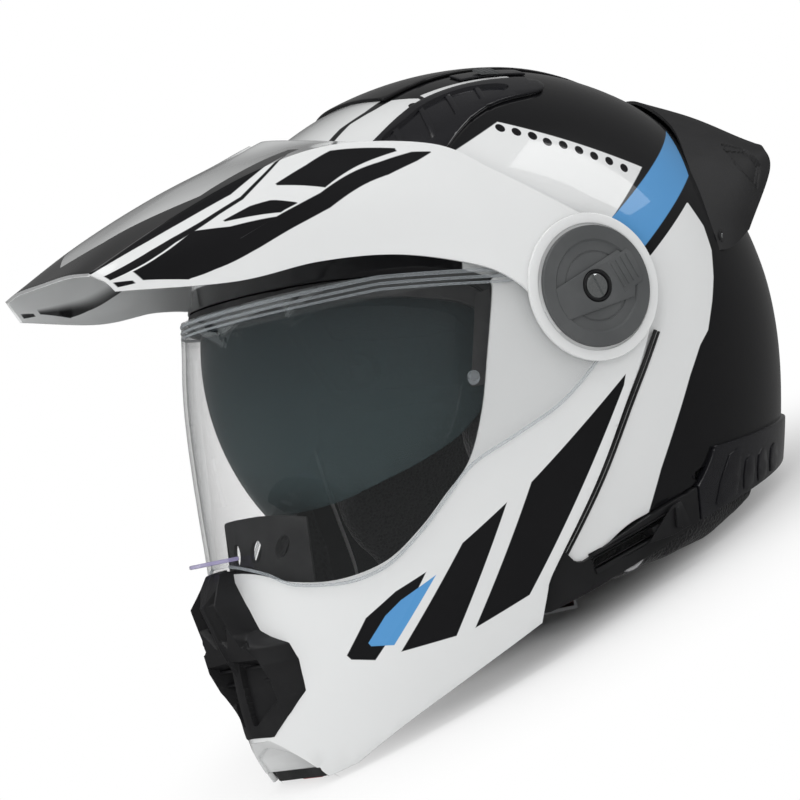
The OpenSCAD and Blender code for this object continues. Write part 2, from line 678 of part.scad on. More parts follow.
// Arm plate of the chin bar: hub round the pivot pin, boss for the shield, tail into the skin
module arm_plate(s) {
  tails = [[-17, -26], [11, -26]];
  color("gainsboro") mirrored(s) difference() {
    union() {
      x_rod(20, arm_x, arm_x + arm_t);
      for (t = tails) {
        x_rod(5, arm_x, arm_x + arm_t, t[0], t[1], 24);
        translate([arm_x, 0, 0]) rotate([90, 0, 90]) linear_extrude(arm_t) hull() {
          translate(t) circle(r = 5, $fn = 24);
          circle(r = 12, $fn = 36);
        }
        moulded() intersection() {
          x_rod(3.4, arm_x + arm_t - 0.1, chin_half_w, t[0], t[1], 24);
          body(chin_keys, chin_half_w - chin_t - 0.02, chin_t + 0.02, chin_pinch);
        }
      }
      x_rod(hub_r, arm_x, disc_x);
    }
    x_rod(pin_r + pin_clear, arm_x - 1, ring_x + ring_t - 0.3);
    x_rod(shank_r + 0.1, arm_x, disc_x + 1);
  }
}

// Button housing at the bottom of the chin bar, the red button and its spring
button_at = [0, -137, -200];
button_size = [22, 11, 5];
module at_button() {
  translate(button_at) rotate([rest_tilt, 0, 0]) children();
}
module button_housing() {
  color([0.08, 0.08, 0.08]) at_button() difference() {
    translate([-19, -10, -4]) cube([38, 17, 14]);
    translate([-button_size[0] / 2 - 0.3, -button_size[1] / 2 - 0.3, -5])
      cube([button_size[0] + 0.6, button_size[1] + 0.6, 12]);
  }
}
module release_button() {
  color([0.75, 0.05, 0.04]) at_button() {
    translate([-button_size[0] / 2, -button_size[1] / 2, -6]) cube(button_size);
    translate([0, 0, -1.2]) cylinder(r = 1.6, h = 4, $fn = 24);
  }
}
spring_r = 2.8;
spring_wire = 0.35;
spring_turns = 5;
spring_len = 7.2;
module button_spring() {
  color("silver") at_button() translate([0, 0, -0.6])
    tube([for (i = [0:spring_turns * 8])
      let (a = i * 45) [spring_r * cos(a), spring_r * sin(a), i * spring_len / spring_turns / 8]],
      spring_wire, 6);
}
// Latch hooks beside the strikers, each on a pin in the chin bar
hook_pivot = [-66, -141];
hook_x = 88;
hook_t = 3;
module latch_hook(s) {
  color("silver") mirrored(s) difference() {
    union() {
      x_rod(6, hook_x, hook_x + hook_t, hook_pivot[0], hook_pivot[1], 32);
      translate([hook_x, 0, 0]) rotate([90, 0, 90]) linear_extrude(hook_t)
        polygon([hook_pivot + [0, -5.5], hook_pivot + [14, -4], hook_pivot + [14.5, -1],
          hook_pivot + [13, 4], hook_pivot + [0, 5.5]]);
    }
    x_rod(2.5 + pin_clear, hook_x - 1, hook_x + hook_t + 1, hook_pivot[0], hook_pivot[1], 32);
  }
}
module latch_pins() {
  color("silver") for (s = [-1, 1]) mirrored(s) {
    x_rod(2.5, hook_x - 1.5, hook_x + hook_t + 1, hook_pivot[0], hook_pivot[1], 32);
    moulded() intersection() {
      x_rod(5, hook_x + hook_t + 0.5, 120, hook_pivot[0], hook_pivot[1], 32);
      body(chin_keys, chin_half_w - chin_t - 0.02, chin_t + 0.02, chin_pinch);
    }
  }
}
// Release cables from the button housing to the hooks, against the skin below the liner
cable_dr = chin_t + 4.6;
module latch_cables() {
  color([0.15, 0.15, 0.15]) for (s = [-1, 1]) mirrored(s)
    tube([for (i = [0:8]) let (ph = 7 + 2.5 * i, th = -54.3 - 12.9 * pow(ph / 27, 2))
      body_point(chin_half_w - cable_dr, profile(chin_keys, th) - cable_dr, th, ph, chin_pinch)],
      1.2);
}
// Chin curtain: fabric across the bottom of the chin bar
module chin_curtain() {
  color([0.12, 0.12, 0.12]) moulded() intersection() {
    wall(chin_keys, liner_back_w - 0.5, liner_back_dr + 0.5, liner_back_w - 20,
      liner_back_dr + 26, chin_pinch);
    side_prism([[-150, -186], [-118, -172], [-90, -158], [-90, -161], [-118, -175], [-150, -189]]);
  }
}

// Peak as rows of points from the front edge to the rear edge, middle to rim
peak_rows = [
  [[0, -233, 53], [30, -232, 53], [50, -230, 51], [55, -225, 46], [57, -221, 40]],
  [[0, -196, 72], [28, -194, 72], [62, -190, 69], [73, -180, 52], [79, -168, 34]],
  [[0, -157, 88], [24, -154, 88], [78, -146, 85], [89, -136, 62], [93, -128, 36]],
  [[0, -124, 98], [22, -120, 98], [90, -106, 91], [103, -99, 64], [108, -92, 32]],
  [[0, -101, 104], [18, -98, 104], [103, -60, 83], [114, -58, 54], [120, -57, 20]]];
peak_t = 2.6;
function peak_row(i) = let (r = peak_rows[i])
  concat([for (j = [4:-1:1]) [-r[j][0], r[j][1], r[j][2]]], r);
peak_net = [for (i = [0:4]) peak_row(i)];
function net_point(net, u, v) = along([for (r = net) along(r, v)], u);
arm_rows = [
  [[97, -83, 87], [108.2, -78, 59.3], [113.8, -74, 26.8]],
  [[102.7, -60, 82.5], [113.6, -58, 54], [119.7, -57, 20.4]],
  [[112.8, -36, 66], [120.4, -38, 40], [124.8, -40, 8]],
  [[122, -14, 48], [125.6, -22, 22], [126.4, -31, -6]],
  [[126.2, 6, 33], [126.7, 0, 16], [126.8, -24, -20]]];
module peak() {
  steps = 2;
  color("white") moulded() difference() {
    union() {
      sheet([for (i = [0:4 * steps]) [for (j = [0:8 * steps])
        net_point(peak_net, i / steps, j / steps)]], peak_t);
      for (s = [-1, 1]) mirrored(s) {
        sheet([for (i = [0:4 * steps]) [for (j = [0:2 * steps])
          net_point(arm_rows, i / steps, j / steps)]], 2.1);
        x_rod(ring_r, ring_x, ring_x + ring_t);
      }
    }
    for (s = [-1, 1]) mirrored(s) {
      x_rod(hub_r + 0.3, 100, 140, 0, 0, 36);
      x_rod(disc_r + 1, ring_x + ring_t, 140);
    }
  }
}

// Side disc over the peak's ring, its lever and its slotted screw
bar_r = 21;
bar_t = 1.6;
module side_disc(s) {
  color([0.35, 0.36, 0.36]) mirrored(s) difference() {
    x_rod(disc_r, disc_x, disc_x + disc_t, 0, 0, 72);
    x_rod(bar_r + 0.4, disc_x + disc_t - bar_t, disc_x + disc_t + 1, 0, 0, 72);
    x_rod(shank_r + 0.2, disc_x - 1, disc_x + disc_t + 1);
  }
}
module lock_lever(s) {
  color([0.3, 0.31, 0.31]) mirrored(s) translate([disc_x + disc_t - bar_t + 0.15, 0, 0])
    difference() {
      union() {
        x_rod(11, 0, bar_t + 0.6);
        rotate([35, 0, 0]) translate([0, -bar_r + 2.5, -6]) cube([bar_t, 2 * bar_r - 5, 12]);
        rotate([35, 0, 0]) for (i = [0:3]) translate([bar_t, 9.5 + i * 2.4, -5])
          cube([0.6, 1.3, 10]);
      }
      x_rod(screw_r + 1, -1, 4);
    }
}
module disc_screws() {
  color("silver") for (s = [-1, 1]) mirrored(s) difference() {
    union() {
      x_rod(shank_r, ring_x + ring_t + 0.2, disc_x + disc_t - bar_t + 0.1);
      x_rod(screw_r, disc_x + disc_t - bar_t, disc_x + disc_t + 0.6);
    }
    rotate([20, 0, 0]) translate([disc_x + disc_t - 0.5, -0.9, -8]) cube([3, 1.8, 16]);
  }
}

// Clear face shield on its own pivots
module face_shield() {
  color([0.8, 0.88, 0.92, 0.3]) difference() {
    moulded() intersection() {
      wall(shield_keys, shield_out_w, 0, shield_in_w, shield_t, chin_pinch);
      side_prism(shield_outline);
    }
    x_rod(hub_r + pin_clear, -140, 140, 0, 0, 72);
  }
}
// Lift tab at the lower middle of the shield
module shield_tab() {
  color([0.7, 0.68, 0.85, 0.5]) moulded() difference() {
    intersection() {
      translate([-22, -178, -97.6]) cube([44, 30, 2.4]);
      translate([0, -100, -110]) cylinder(r = 77, h = 30, $fn = 96);
    }
    body(shield_keys, shield_out_w + 0.02, -0.02, chin_pinch);
  }
}
// Pins on the inside of the shield that hold the anti-fog sheet
module shield_pins() {
  color([0.6, 0.65, 0.68, 0.6]) for (s = [-1, 1]) mirrored(s) {
    p = body_point(shield_in_w, profile(shield_keys, -26) - shield_t, -26, 56, chin_pinch);
    moulded() intersection() {
      translate(p) rotate([0, -60, -30]) cylinder(r = 3, h = 5, center = true, $fn = 24);
      body(shield_keys, shield_in_w - 0.03, shield_t + 0.03, chin_pinch);
    }
  }
}

laid() outer_shell();
laid() impact_liner();
laid() crown_pad();
laid() cheek_core(1);  // cheek_core_left
laid() cheek_core(-1);  // cheek_core_right
laid() cheek_pad(1);  // cheek_pad_left
laid() cheek_pad(-1);  // cheek_pad_right
laid() neck_roll();
laid() lower_trim();
laid() rear_bumper();
laid() brow_gasket();
laid() crown_cowl();
laid() top_vent(1);  // top_vent_left
laid() top_vent(-1);  // top_vent_right
laid() top_shutter(1);  // top_shutter_left
laid() top_shutter(-1);  // top_shutter_right
laid() rear_spoiler();
laid() spoiler_screws();
laid() pivot_plate(1);  // pivot_plate_left
laid() pivot_plate(-1);  // pivot_plate_right
laid() latch_strikers();
laid() sun_visor();
laid() sun_visor_pivots();
laid() visor_slider();
laid() visor_cable();
laid() strap(1, 50);  // strap_left
laid() strap(-1, 14);  // strap_right
laid() strap_rivets();
laid() buckle_body();
laid() buckle_lever();
laid() ratchet_strip();
laid() chin_bar();
laid() chin_liner();
laid() port_trim();
laid() breath_deflector();
laid() chin_vent_cover();
laid() chin_vent_core();
laid() chin_vent_shutter();
laid() arm_plate(1);  // arm_plate_left
laid() arm_plate(-1);  // arm_plate_right
laid() button_housing();
laid() release_button();
laid() button_spring();
laid() latch_hook(1);  // latch_hook_left
laid() latch_hook(-1);  // latch_hook_right
laid() latch_pins();
laid() latch_cables();
laid() chin_curtain();
laid() peak();
laid() side_disc(1);  // side_disc_left
laid() side_disc(-1);  // side_disc_right
laid() lock_lever(1);  // lock_lever_left
laid() lock_lever(-1);  // lock_lever_right
laid() disc_screws();
laid() face_shield();
laid() shield_tab();
laid() shield_pins();
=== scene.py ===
import bpy, bmesh
from math import sin, cos, asin, atan2, radians, degrees, hypot, pi
from mathutils import Matrix, Vector


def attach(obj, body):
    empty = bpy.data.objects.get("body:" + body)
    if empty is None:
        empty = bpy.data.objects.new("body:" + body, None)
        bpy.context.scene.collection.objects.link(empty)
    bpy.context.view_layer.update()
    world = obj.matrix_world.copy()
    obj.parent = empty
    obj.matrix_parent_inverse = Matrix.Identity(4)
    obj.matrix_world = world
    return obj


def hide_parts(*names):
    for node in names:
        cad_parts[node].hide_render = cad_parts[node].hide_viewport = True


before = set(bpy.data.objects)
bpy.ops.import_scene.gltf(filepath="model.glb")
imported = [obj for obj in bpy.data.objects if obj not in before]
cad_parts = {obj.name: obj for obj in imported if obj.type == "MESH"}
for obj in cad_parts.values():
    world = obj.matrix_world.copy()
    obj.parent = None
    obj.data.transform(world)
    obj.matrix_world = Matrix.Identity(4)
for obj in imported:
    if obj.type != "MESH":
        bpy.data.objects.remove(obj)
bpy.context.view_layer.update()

# ---- Camera -------------------------------------------------------------------------------
# A long lens from the wearer's left and a little in front, tipped so that the helmet's chin
# points down the picture. The helmet itself lies at rest on its chin and neck roll.
lens = bpy.data.cameras.new("camera")
lens.sensor_width = 36
lens.lens = 223.66
lens.clip_end = 20
camera = bpy.data.objects.new("camera", lens)
camera.matrix_world = Matrix(((0.467161, 0.118667, 0.876173, 2.19866),
                              (0.737818, 0.493744, -0.460263, -1.18698),
                              (-0.487223, 0.861473, 0.143103, 0.49316),
                              (0, 0, 0, 1)))
bpy.context.scene.collection.objects.link(camera)
bpy.context.scene.camera = camera
bpy.context.scene.view_settings.view_transform = "Standard"

# ---- Floor and light ----------------------------------------------------------------------
# Plain pale floor that fades into white, under four soft studio boxes and an even sky. Each kind
# of ray meets the sky at its own strength.
world = bpy.data.worlds.new("studio")
bpy.context.scene.world = world
world.use_nodes = True
sky = world.node_tree
rays = sky.nodes.new("ShaderNodeLightPath")
strength = None
for ray, level in (("Is Camera Ray", 1.0), ("Is Transmission Ray", 1.0), ("Is Glossy Ray", 0.14),
                   ("Is Diffuse Ray", 0.5)):
    step = sky.nodes.new("ShaderNodeMath")
    step.operation = "MULTIPLY_ADD"
    sky.links.new(rays.outputs[ray], step.inputs[0])
    step.inputs[1].default_value = level
    step.inputs[2].default_value = 0
    if strength:
        sky.links.new(strength.outputs[0], step.inputs[2])
    strength = step
sky.nodes["Background"].inputs["Color"].default_value = (1, 1, 1, 1)
sky.links.new(strength.outputs[0], sky.nodes["Background"].inputs["Strength"])
for name, at, size, watts in (("top_box", (0.3, -0.2, 1.9), (1.6, 1.2), 13.0),
                              ("left_box", (1.9, -1.6, 1.1), (1.3, 1.5), 15.0),
                              ("front_box", (-0.9, -2.0, 0.35), (1.0, 0.8), 9.0),
                              ("back_box", (1.2, 1.9, 1.0), (0.7, 1.5), 7.0)):
    lamp = bpy.data.lights.new(name, "AREA")
    lamp.shape, lamp.size, lamp.size_y = "RECTANGLE", *size
    lamp.energy = watts
    box = bpy.data.objects.new(name, lamp)
    box.location = at
    box.visible_glossy = name in ("top_box", "back_box")
    box.rotation_euler = (Vector((0, 0, 0.14)) - Vector(at)).to_track_quat("-Z", "Y").to_euler()
    bpy.context.scene.collection.objects.link(box)
bm = bmesh.new()
bmesh.ops.create_circle(bm, cap_ends=True, segments=96, radius=6.0)
mesh = bpy.data.meshes.new("floor")
bm.to_mesh(mesh)
bm.free()
floor = bpy.data.objects.new("floor", mesh)
bpy.context.scene.collection.objects.link(floor)


# ---- Outer shell --------------------------------------------------------------------------
# Moulded composite shell, sprayed glossy black, with white side panels, a blue flash and a row
# of dots under clear lacquer. Its sections are rounded bodies about the side pivots.
def carry(keys, th):
    """Radius of a closed side profile at an angle, from keys every 30 degrees."""
    n = len(keys)
    place = (th % 360) * n / 360
    i = int(place)
    t = place - i
    a, b, c, d = (keys[(i + k) % n] for k in (-1, 0, 1, 2))
    return b + 0.5 * t * (c - a + t * (2 * a - 5 * b + 4 * c - d + t * (3 * (b - c) + d - a)))


def on_body(keys, w, dr, th, ph, pinch=0.0):
    """Point of a rounded body in the wearing frame, millimetres."""
    c, s = cos(radians(ph)), sin(radians(ph))
    n = 2.2 - pinch * max(0.0, cos(radians(th + 45))) ** 3 * c * c
    k = ((abs(s) / w) ** n + (abs(c) / (carry(keys, th) - dr)) ** n) ** (-1 / n)
    return Vector((k * s, -k * c * cos(radians(th)), k * c * sin(radians(th))))


def rounded_body(keys, w, dr=0.0, pinch=0.0, pivot=(0, 0)):
    """Closed body of half width w, its side profile brought in by dr."""
    bm = bmesh.new()
    bmesh.ops.create_uvsphere(bm, u_segments=180, v_segments=90, radius=1,
                              matrix=Matrix.Rotation(pi / 2, 4, "Y"))
    for v in bm.verts:
        ph = degrees(asin(max(-1.0, min(1.0, v.co.x))))
        th = degrees(atan2(v.co.z, -v.co.y))
        v.co = on_body(keys, w, dr, th, ph, pinch) + Vector((0, *pivot))
    bmesh.ops.recalc_face_normals(bm, faces=bm.faces)
    return bm


def flowing(points, steps=8):
    """Closed smooth line through points; a point given twice stays a corner."""
    n, line = len(points), []
    for i in range(n):
        a, b, c, d = (Vector(points[(i + k) % n]) for k in (-1, 0, 1, 2))
        if (c - b).length < 0.01:
            continue
        for k in range(steps):
            t = k / steps
            p = b + 0.5 * t * (c - a + t * (2 * a - 5 * b + 4 * c - d
                                            + t * (3 * (b - c) + d - a)))
            if not line or (p - line[-1]).length > 0.05:
                line.append(p)
    return line


def prism(line, x0, x1, axis="X"):
    """Closed prism over a line, along the X axis or another one."""
    bm = bmesh.new()
    face = bm.faces.new([bm.verts.new((x0, *p)) for p in line])
    moved = bmesh.ops.extrude_face_region(bm, geom=[face])["geom"]
    bmesh.ops.translate(bm, vec=(x1 - x0, 0, 0),
                        verts=[v for v in moved if isinstance(v, bmesh.types.BMVert)])
    bmesh.ops.holes_fill(bm, edges=bm.edges)
    if axis == "Z":
        bm.transform(Matrix(((0, 1, 0, 0), (0, 0, 1, 0), (1, 0, 0, 0), (0, 0, 0, 1))))
    if axis == "Y":
        bm.transform(Matrix(((0, 1, 0, 0), (1, 0, 0, 0), (0, 0, 1, 0), (0, 0, 0, 1))))
    bmesh.ops.recalc_face_normals(bm, faces=bm.faces)
    return bm


kept, offcut = bpy.data.materials.new("kept"), bpy.data.materials.new("offcut")


def blank(bm, index=None):
    """A mesh as an object for modifiers, its faces marked 0 to keep or 1 as an offcut."""
    if index is not None:
        for f in bm.faces:
            f.material_index = index
    mesh = bpy.data.meshes.new("blank")
    bm.to_mesh(mesh)
    bm.free()
    mesh.materials.append(kept)
    mesh.materials.append(offcut)
    obj = bpy.data.objects.new("blank", mesh)
    bpy.context.scene.collection.objects.link(obj)
    return obj


def worked(bm, *modifiers):
    """The mesh after some of Blender's modifiers, given as (kind, settings)."""
    obj = blank(bm)
    for kind, settings in modifiers:
        m = obj.modifiers.new(kind, kind)
        for key, value in settings.items():
            setattr(m, key, value)
    depsgraph = bpy.context.evaluated_depsgraph_get()
    mesh = bpy.data.meshes.new_from_object(obj.evaluated_get(depsgraph))
    bpy.data.objects.remove(obj)
    bm = bmesh.new()
    bm.from_mesh(mesh)
    bpy.data.meshes.remove(mesh)
    return bm


def carved(bm, tool, operation, keep_cut=False, mark=1):
    """Boolean of two meshes; without keep_cut the faces left by the tool are removed."""
    cutter = blank(tool, mark)
    bm = worked(bm, ("BOOLEAN", {"operation": operation, "object": cutter, "solver": "EXACT"}))
    bpy.data.objects.remove(cutter)
    if not keep_cut:
        opened(bm, 2)
    return bm


def opened(bm, reach=1):
    """Removes the offcut faces and merges the crowded points at the rim they leave."""
    spare = [f for f in bm.faces if f.material_index == 1]
    bmesh.ops.delete(bm, geom=spare, context="FACES")
    rim = {v for e in bm.edges if e.is_boundary for v in e.verts}
    if reach == 2:
        rim = {w for v in rim for e in v.link_edges for w in e.verts}
    bmesh.ops.remove_doubles(bm, verts=list(rim), dist=0.5)


def bevel(width, segments=2, angle=40, clamp=True):
    return "BEVEL", {"width": width, "segments": segments, "limit_method": "ANGLE",
                     "angle_limit": radians(angle), "use_clamp_overlap": clamp}


def thick(bm, t, edge=0.5):
    """Gives an open skin its wall, inwards, and rounds its edges."""
    return worked(bm, ("SOLIDIFY", {"thickness": t, "offset": -1, "use_even_offset": False}),
                  bevel(edge, 2, 50, False))


def panel(keys, w, line, t, dr=0.0, pinch=0.0, edge=0.5, axis="X", pivot=(0, 0)):
    """Moulded panel: the part of a rounded body inside an outline."""
    span = (-160, 160) if axis == "X" else (0, 200)
    bm = carved(rounded_body(keys, w, dr, pinch, pivot), prism(line, *span, axis), "INTERSECT")
    return thick(bm, t, edge)


def bead(points, r, sides=3, closed=False):
    """Round bead or wire along points."""
    curve = bpy.data.curves.new("bead", "CURVE")
    curve.dimensions = "3D"
    curve.bevel_depth = r
    curve.bevel_resolution = sides
    curve.use_fill_caps = True
    spline = curve.splines.new("POLY")
    spline.points.add(len(points) - 1)
    spline.use_cyclic_u = closed
    for p, q in zip(spline.points, points):
        p.co = (*q, 1)
    obj = bpy.data.objects.new("bead", curve)
    bpy.context.scene.collection.objects.link(obj)
    depsgraph = bpy.context.evaluated_depsgraph_get()
    mesh = bpy.data.meshes.new_from_object(obj.evaluated_get(depsgraph))
    bpy.data.objects.remove(obj)
    bm = bmesh.new()
    bm.from_mesh(mesh)
    return bm


def joined(*parts):
    bm = bmesh.new()
    for part in parts:
        mesh = bpy.data.meshes.new("part")
        part.to_mesh(mesh)
        part.free()
        bm.from_mesh(mesh)
    return bm


def other_side(bm):
    """Mirror image of a mesh, on the wearer's right."""
    twin = bm.copy()
    bmesh.ops.scale(twin, vec=(-1, 1, 1), verts=twin.verts)
    bmesh.ops.reverse_faces(twin, faces=twin.faces)
    return twin


def both(bm):
    return joined(other_side(bm), bm)


def sided(bm, s):
    """A copy for the left, s = 1, or the right, s = -1."""
    return bm.copy() if s > 0 else other_side(bm)


TILT = radians(20.8)  # how far the worn helmet leans back when it lies at rest
laid = (Matrix.Translation((0, 0.0254, 0.148)) @ Matrix.Rotation(-TILT, 4, "X")
        @ Matrix.Scale(0.001, 4))


def piece(name, bm, finish, body, *nodes, slot, crisp=32):
    """Lays a mesh made in the wearing frame on the table, as one piece of the helmet."""
    bm.transform(laid)
    mesh = bpy.data.meshes.new(name)
    for f in bm.faces:
        f.material_index = 0
        f.smooth = True
    bm.to_mesh(mesh)
    bm.free()
    mesh.materials.clear()
    mesh.materials.append(finish.material)
    mesh.set_sharp_from_angle(angle=radians(crisp))
    obj = bpy.data.objects.new(name, mesh)
    bpy.context.scene.collection.objects.link(obj)
    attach(obj, body)
    if nodes:
        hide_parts(*nodes)
    return obj


class Wire:
    """A value in a finish's node tree, with Python's own arithmetic."""

    def __init__(self, finish, socket):
        self.finish, self.socket = finish, socket

    def maths(self, operation, *others):
        return self.finish.node("ShaderNodeMath", {"operation": operation}, self, *others)

    def __add__(self, other):
        return self.maths("ADD", other)

    def __sub__(self, other):
        return self.maths("SUBTRACT", other)

    def __mul__(self, other):
        return self.maths("MULTIPLY", other)

    __radd__, __rmul__ = __add__, __mul__

    def __rsub__(self, other):
        return self.maths("MULTIPLY_ADD", -1.0, other)

    def __truediv__(self, other):
        return self.maths("DIVIDE", other)

    def __abs__(self):
        return self.maths("ABSOLUTE")

    def __and__(self, other):
        return self.maths("MINIMUM", other)

    def __or__(self, other):
        return self.maths("MAXIMUM", other)

    def __pow__(self, other):
        return self.maths("POWER", other)

    def rise(self, low, high):
        """0 below low, 1 above high, smooth between."""
        return self.finish.node("ShaderNodeMapRange", {"interpolation_type": "SMOOTHSTEP"},
                                self, low, high, 0.0, 1.0)


class Finish:
    """One paint, plastic, cloth or metal, on Blender's Principled shader."""

    def __init__(self, name, **constants):
        self.material = bpy.data.materials.new(name)
        self.material.use_nodes = True
        self.tree = self.material.node_tree
        self.shader = self.tree.nodes["Principled BSDF"]
        self.use(**constants)
        self.place = self.node("ShaderNodeTexCoord", {}, out="Object")

    def feed(self, socket, value):
        if isinstance(value, Wire):
            self.tree.links.new(value.socket, socket)
        elif hasattr(value, "__len__") and socket.type == "RGBA" and len(value) == 3:
            socket.default_value = (*value, 1)
        else:
            socket.default_value = value

    def node(self, kind, settings, *values, out=0, **named):
        node = self.tree.nodes.new(kind)
        for key, value in settings.items():
            setattr(node, key, value)
        for i, value in enumerate(values):
            self.feed(node.inputs[i], value)
        for key, value in named.items():
            self.feed(node.inputs[key.replace("_", " ")], value)
        return Wire(self, node.outputs[out])

    def use(self, **sockets):
        for key, value in sockets.items():
            self.feed(self.shader.inputs[key.replace("_", " ")], value)

    def mixed(self, factor, a, b):
        node = self.tree.nodes.new("ShaderNodeMix")
        node.data_type = "RGBA"
        for i, value in ((0, factor), (6, a), (7, b)):
            self.feed(node.inputs[i], value)
        return Wire(self, node.outputs[2])

    def worn(self):
        """Place in the wearing frame in millimetres: |x|, y and z."""
        turned = self.node("ShaderNodeMapping", {}, self.place, Scale=(1000, 1000, 1000),
                           Rotation=(TILT, 0, 0),
                           Location=tuple(-(Matrix.Rotation(TILT, 3, "X")
                                            @ Vector((0, 25.4, 148)))))
        parts = self.node("ShaderNodeSeparateXYZ", {}, turned).socket.node.outputs
        x, y, z = (Wire(self, s) for s in parts)
        return abs(x), y, z

    def outward(self):
        """1 on faces turned away from the middle of the helmet, 0 on its inside."""
        normal = self.node("ShaderNodeTexCoord", {}, out="Normal")
        middle = self.node("ShaderNodeVectorMath", {"operation": "SUBTRACT"}, self.place,
                           (0, 0.02, 0.13))
        side = self.node("ShaderNodeVectorMath", {"operation": "DOT_PRODUCT"}, normal, middle,
                         out="Value")
        return side.rise(-0.004, 0.004)

    def noise(self, scale, detail=3.0, stretch=None):
        place = self.place
        if stretch:
            place = self.node("ShaderNodeMapping", {}, place, Scale=stretch)
        return self.node("ShaderNodeTexNoise", {}, Vector=place, Scale=scale, Detail=detail)

    def bumped(self, height, distance, strength=1.0):
        self.use(Normal=self.node("ShaderNodeBump", {}, Strength=strength, Distance=distance,
                                  Height=height))


def patch(a, b, corners, soft=0.15):
    """1 inside a convex outline given by its corners on the axes a and b."""
    area = sum(p[0] * q[1] - q[0] * p[1] for p, q in zip(corners, corners[1:] + corners[:1]))
    if area < 0:
        corners = corners[::-1]
    inside = None
    for p, q in zip(corners, corners[1:] + corners[:1]):
        u, v = p[1] - q[1], q[0] - p[0]
        size = hypot(u, v)
        u, v = u / size, v / size
        side = a.maths("MULTIPLY_ADD", u, b.maths("MULTIPLY_ADD", v, -u * p[0] - v * p[1]))
        inside = side if inside is None else inside & side
    return inside.rise(-soft, soft)


def band(finish, a, b, rows, soft=0.15):
    """1 between two broken lines, given as rows of (a, low b, high b)."""
    a0, a1 = rows[0][0], rows[-1][0]
    b0, b1 = min(r[1] for r in rows), max(r[2] for r in rows)
    place = (a - a0) / (a1 - a0)
    edges = []
    for k in (1, 2):
        line = finish.node("ShaderNodeFloatCurve", {}, 1.0, place)
        curve = line.socket.node.mapping.curves[0]
        for i, r in enumerate(rows):
            at = ((r[0] - a0) / (a1 - a0), (r[k] - b0) / (b1 - b0))
            if i in (0, len(rows) - 1):
                point = curve.points[0 if i == 0 else -1]
                point.location = at
            else:
                point = curve.points.new(*at)
            point.handle_type = "VECTOR"
        line.socket.node.mapping.update()
        edges.append(line * (b1 - b0) + b0)
    inside = (b - edges[0]) & (edges[1] - b) & (a - a0) & (a1 - a)
    return inside.rise(-soft, soft)


white, black, blue = (0.80, 0.81, 0.81), (0.004, 0.004, 0.005), (0.10, 0.33, 0.66)


def lacquer(finish, colour, dark, bare_inside=True):
    """Clear coat over paint, with a faint orange peel and a breath of handling haze. dark is 1
    where the paint is black, and the inside of a skin can stay bare and dark."""
    haze = finish.noise(9.0, 4.0).rise(0.35, 0.75)
    colour = finish.mixed(haze * 0.006, colour, (0.62, 0.63, 0.65))
    outside = finish.outward() if bare_inside else 1.0
    colour = finish.mixed(outside, (0.014, 0.014, 0.015), colour)
    peel = finish.noise(650.0, 2.0)
    finish.use(Base_Color=colour, Roughness=haze * 0.05 + dark * 0.2 + 0.45 - outside * 0.35,
               Coat_Weight=outside - haze * 0.15, Specular_IOR_Level=0.15)
    finish.bumped(peel, 0.00002)


# Radii of the side profile about the pivots, every 30 degrees from the front over the top
shell_keys = [151, 142, 129, 125.5, 132.5, 146, 159, 175, 208, 240, 226, 180]
shell_line = flowing([(-175, 31), (-175, 31), (-112, 27), (-64, 15), (-50, 2), (-46, -30),
                      (-42, -70), (-38, -110), (-41, -131), (-41, -131), (-20, -131), (4, -118),
                      (20, -113), (50, -104), (58, -96), (165, -76), (220, -66), (220, -66),
                      (220, 170), (220, 170), (-175, 170), (-175, 170)])
shell_half, flat_half, flat_r = 117, 112.5, 42  # half widths of the shell and of its hub flats
bm = rounded_body(shell_keys, shell_half)
for v in bm.verts:
    if hypot(v.co.y, v.co.z) < flat_r:
        v.co.x = max(-flat_half, min(flat_half, v.co.x))
skin = thick(carved(bm, prism(shell_line, -160, 160), "INTERSECT"), 3.9)
shell_paint = Finish("shell_paint", Coat_Roughness=0.03, IOR=1.5)
x, y, z = shell_paint.worn()
pale = patch(y, z, [(-11.5, 90.5), (57, 56), (24, 31), (-20, 0), (-60, 20), (-49, 76)], 0.3)
pale = pale | band(shell_paint, z, y, [(-141, -60, 1), (-118, -60, 16), (-93.4, -60, 28.5),
                                       (-50.5, -60, 54.7), (-36.7, -40, 64.6),
                                       (-30, -20, 71.9), (-15.5, -10, 78.9), (-4.2, 0, 83.4),
                                       (9.5, 41, 87.1), (22.1, 60, 86.3), (34.8, 79, 80)], 0.3)
forehead = band(shell_paint, y, x, [(-140, -9, 44), (-84.1, -9, 39.4), (-72.3, -9, 36.2),
                                    (-57, -9, 37), (-44.1, -9, 34.4)], 0.3)
strip = band(shell_paint, y, x, [(-140, 50, 75), (-82.9, 43.2, 67), (-67.8, 39, 66),
                                 (-53.2, 41, 62.5), (-42.7, 40.9, 60.5), (-34, 52, 59.5)], 0.3)
strip = strip | band(shell_paint, y, x, [(-31.4, 50, 55.5), (20, 49.5, 55)], 0.3)
upper = z.rise(40, 41)
pale = (pale & (1 - upper * x.rise(72, 71.5))) | ((forehead | strip) * upper)
spots = [(-12.4, 87.0), (-5.6, 83.6), (1.4, 80.2), (7.4, 75.9), (15.2, 73.1), (22.6, 69.2),
         (29.8, 65.1), (37.5, 61.4), (44.9, 56.8)]
near = None
for py, pz in spots:
    d = (y - py) ** 2.0 + (z - pz) ** 2.0
    near = d if near is None else near & d
d = (y + 39.8) ** 2.0 + (x - 55.6) ** 2.0
dots = 1 - (near & d).rise(4.4, 6.2)
flash = patch(y, z, [(24, 31.4), (96, 75), (90, 49), (39, 14.6)], 0.3)
colour = shell_paint.mixed(pale * (1 - dots), black, white)
colour = shell_paint.mixed(flash, colour, blue)
lacquer(shell_paint, colour, 1 - pale)
